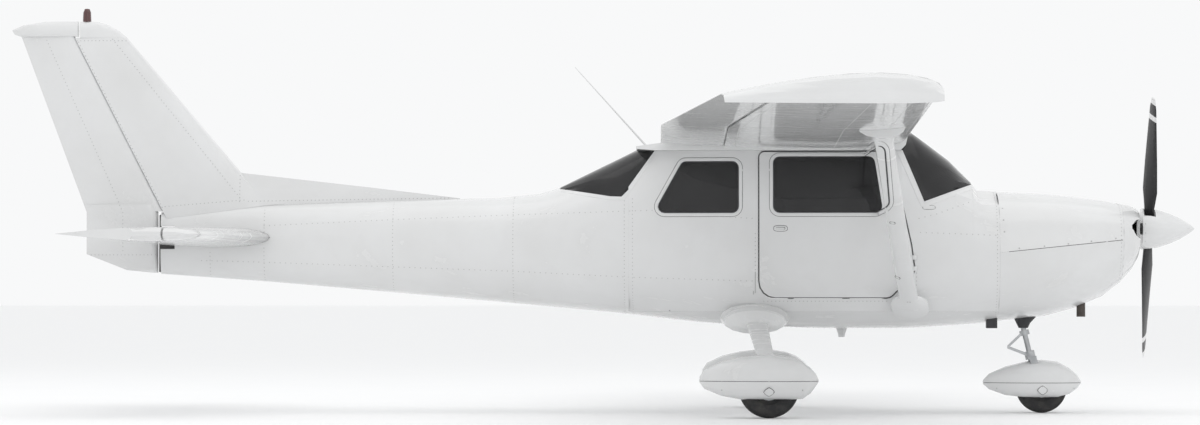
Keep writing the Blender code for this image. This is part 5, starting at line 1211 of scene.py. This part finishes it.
def panel():
    for number, (y, up, radius) in enumerate(DIALS):
        place, look = panel_spot(y, up)
        scale = radius
        bezel = turned_mesh(f"dial_bezel_{number}", [(r * scale, h * scale / DIAL_SCALE) for r, h in DIAL_SECTION],
                            place, look, DIAL_STEPS)
        add_piece(f"dial_bezel_{number}", bezel, "airframe", "black_paint")
        face = turned_mesh(f"dial_face_{number}", [(r * scale, h) for r, h in DIAL_FACE], place, look, DIAL_STEPS)
        add_piece(f"dial_face_{number}", face, "airframe", "dial_face", smooth=False)
    for number, (y, up) in enumerate(RADIO_STACK):
        place, look = panel_spot(y - 0.06, up)
        wide, high, deep = RADIO_HALF
        mesh = dome_mesh(f"radio_{number}", (place, look, None), high, wide, deep, square=6.0)
        add_piece(f"radio_{number}", mesh, "airframe", "black_paint")
    for number, y in enumerate(YOKES):
        bow = [Vector((YOKE_X, y + across, YOKE_Z + up)) for across, up in YOKE_SHAPE]
        mesh = tube_mesh(f"yoke_{number}", bow, YOKE_RADIUS, sides=12)
        add_piece(f"yoke_{number}", mesh, "airframe", "black_paint")
        hub = Vector((YOKE_X - 0.010, y, YOKE_Z - 0.036))
        face = Vector((PANEL_FOOT.x + 0.004, y, YOKE_Z - 0.036))
        mesh = tube_mesh(f"yoke_shaft_{number}", [hub, hub.lerp(face, 0.5), face], SHAFT_RADIUS, sides=16)
        add_piece(f"yoke_shaft_{number}", mesh, "airframe", "grey_metal")


# Camera, light and floor
def make_camera():
    data = bpy.data.cameras.new("camera")
    data.lens = CAMERA_LENS
    data.clip_end = FLOOR_RADIUS * 2
    obj = bpy.data.objects.new("camera", data)
    obj.location = CAMERA_PLACE
    obj.rotation_euler = Vector(CAMERA_AIM).to_track_quat("-Z", "Y").to_euler()
    bpy.context.scene.collection.objects.link(obj)
    bpy.context.scene.camera = obj


def make_light():
    for name, place, target, (wide, high), power, colour in LAMPS:
        data = bpy.data.lights.new(name, "AREA")
        data.shape = "RECTANGLE"
        data.size = wide
        data.size_y = high
        data.energy = power
        data.color = colour
        obj = bpy.data.objects.new(name, data)
        obj.location = place
        obj.rotation_euler = (Vector(target) - Vector(place)).to_track_quat("-Z", "Y").to_euler()
        bpy.context.scene.collection.objects.link(obj)
    sky = bpy.data.worlds.new("studio")
    sky.use_nodes = True
    back = sky.node_tree.nodes["Background"]
    back.inputs["Color"].default_value = (*SKY_COLOUR, 1.0)
    back.inputs["Strength"].default_value = SKY_STRENGTH
    bpy.context.scene.world = sky
    bpy.context.scene.view_settings.view_transform = "Standard"


def make_floor():
    """A wide round floor, so that no edge of it shows from any side."""
    bm = bmesh.new()
    turns = [2 * math.pi * step / FLOOR_STEPS for step in range(FLOOR_STEPS)]
    rim = [bm.verts.new((FLOOR_RADIUS * math.cos(turn), FLOOR_RADIUS * math.sin(turn), 0.0)) for turn in turns]
    bm.faces.new(rim)
    mesh = bpy.data.meshes.new("floor")
    bm.to_mesh(mesh)
    bm.free()
    obj = bpy.data.objects.new("floor", mesh)
    bpy.context.scene.collection.objects.link(obj)
    made, tree, shader = new_material("floor_finish")
    mottle = noise(tree, coordinates(tree), 1.5, 4.0, 0.5)
    tone = blend_colours(tree, mottle, FLOOR_TONES[0], FLOOR_TONES[1])
    tree.links.new(tone, shader.inputs["Base Color"])
    shader.inputs["Roughness"].default_value = 0.85
    mesh.materials.append(made)


dress_nodes()
body_rivets()
plan_rivets("rivets_wing", WING_SKIN, WING_PLAN, WING_ROWS, WING_RIBS, WING_SHEETS)
plan_rivets("rivets_tail", TAIL_SKIN, TAIL_PLAN, TAIL_ROWS, TAIL_RIBS, TAIL_SHEETS)
fin_rivets()
window_bands()
side_strips()
pod_bands()
pod_caps()
side_domes()
screws()
tyres()
rim_nuts()
seals()
seats()
panel()
make_camera()
make_light()
make_floor()

bpy.context.view_layer.update()
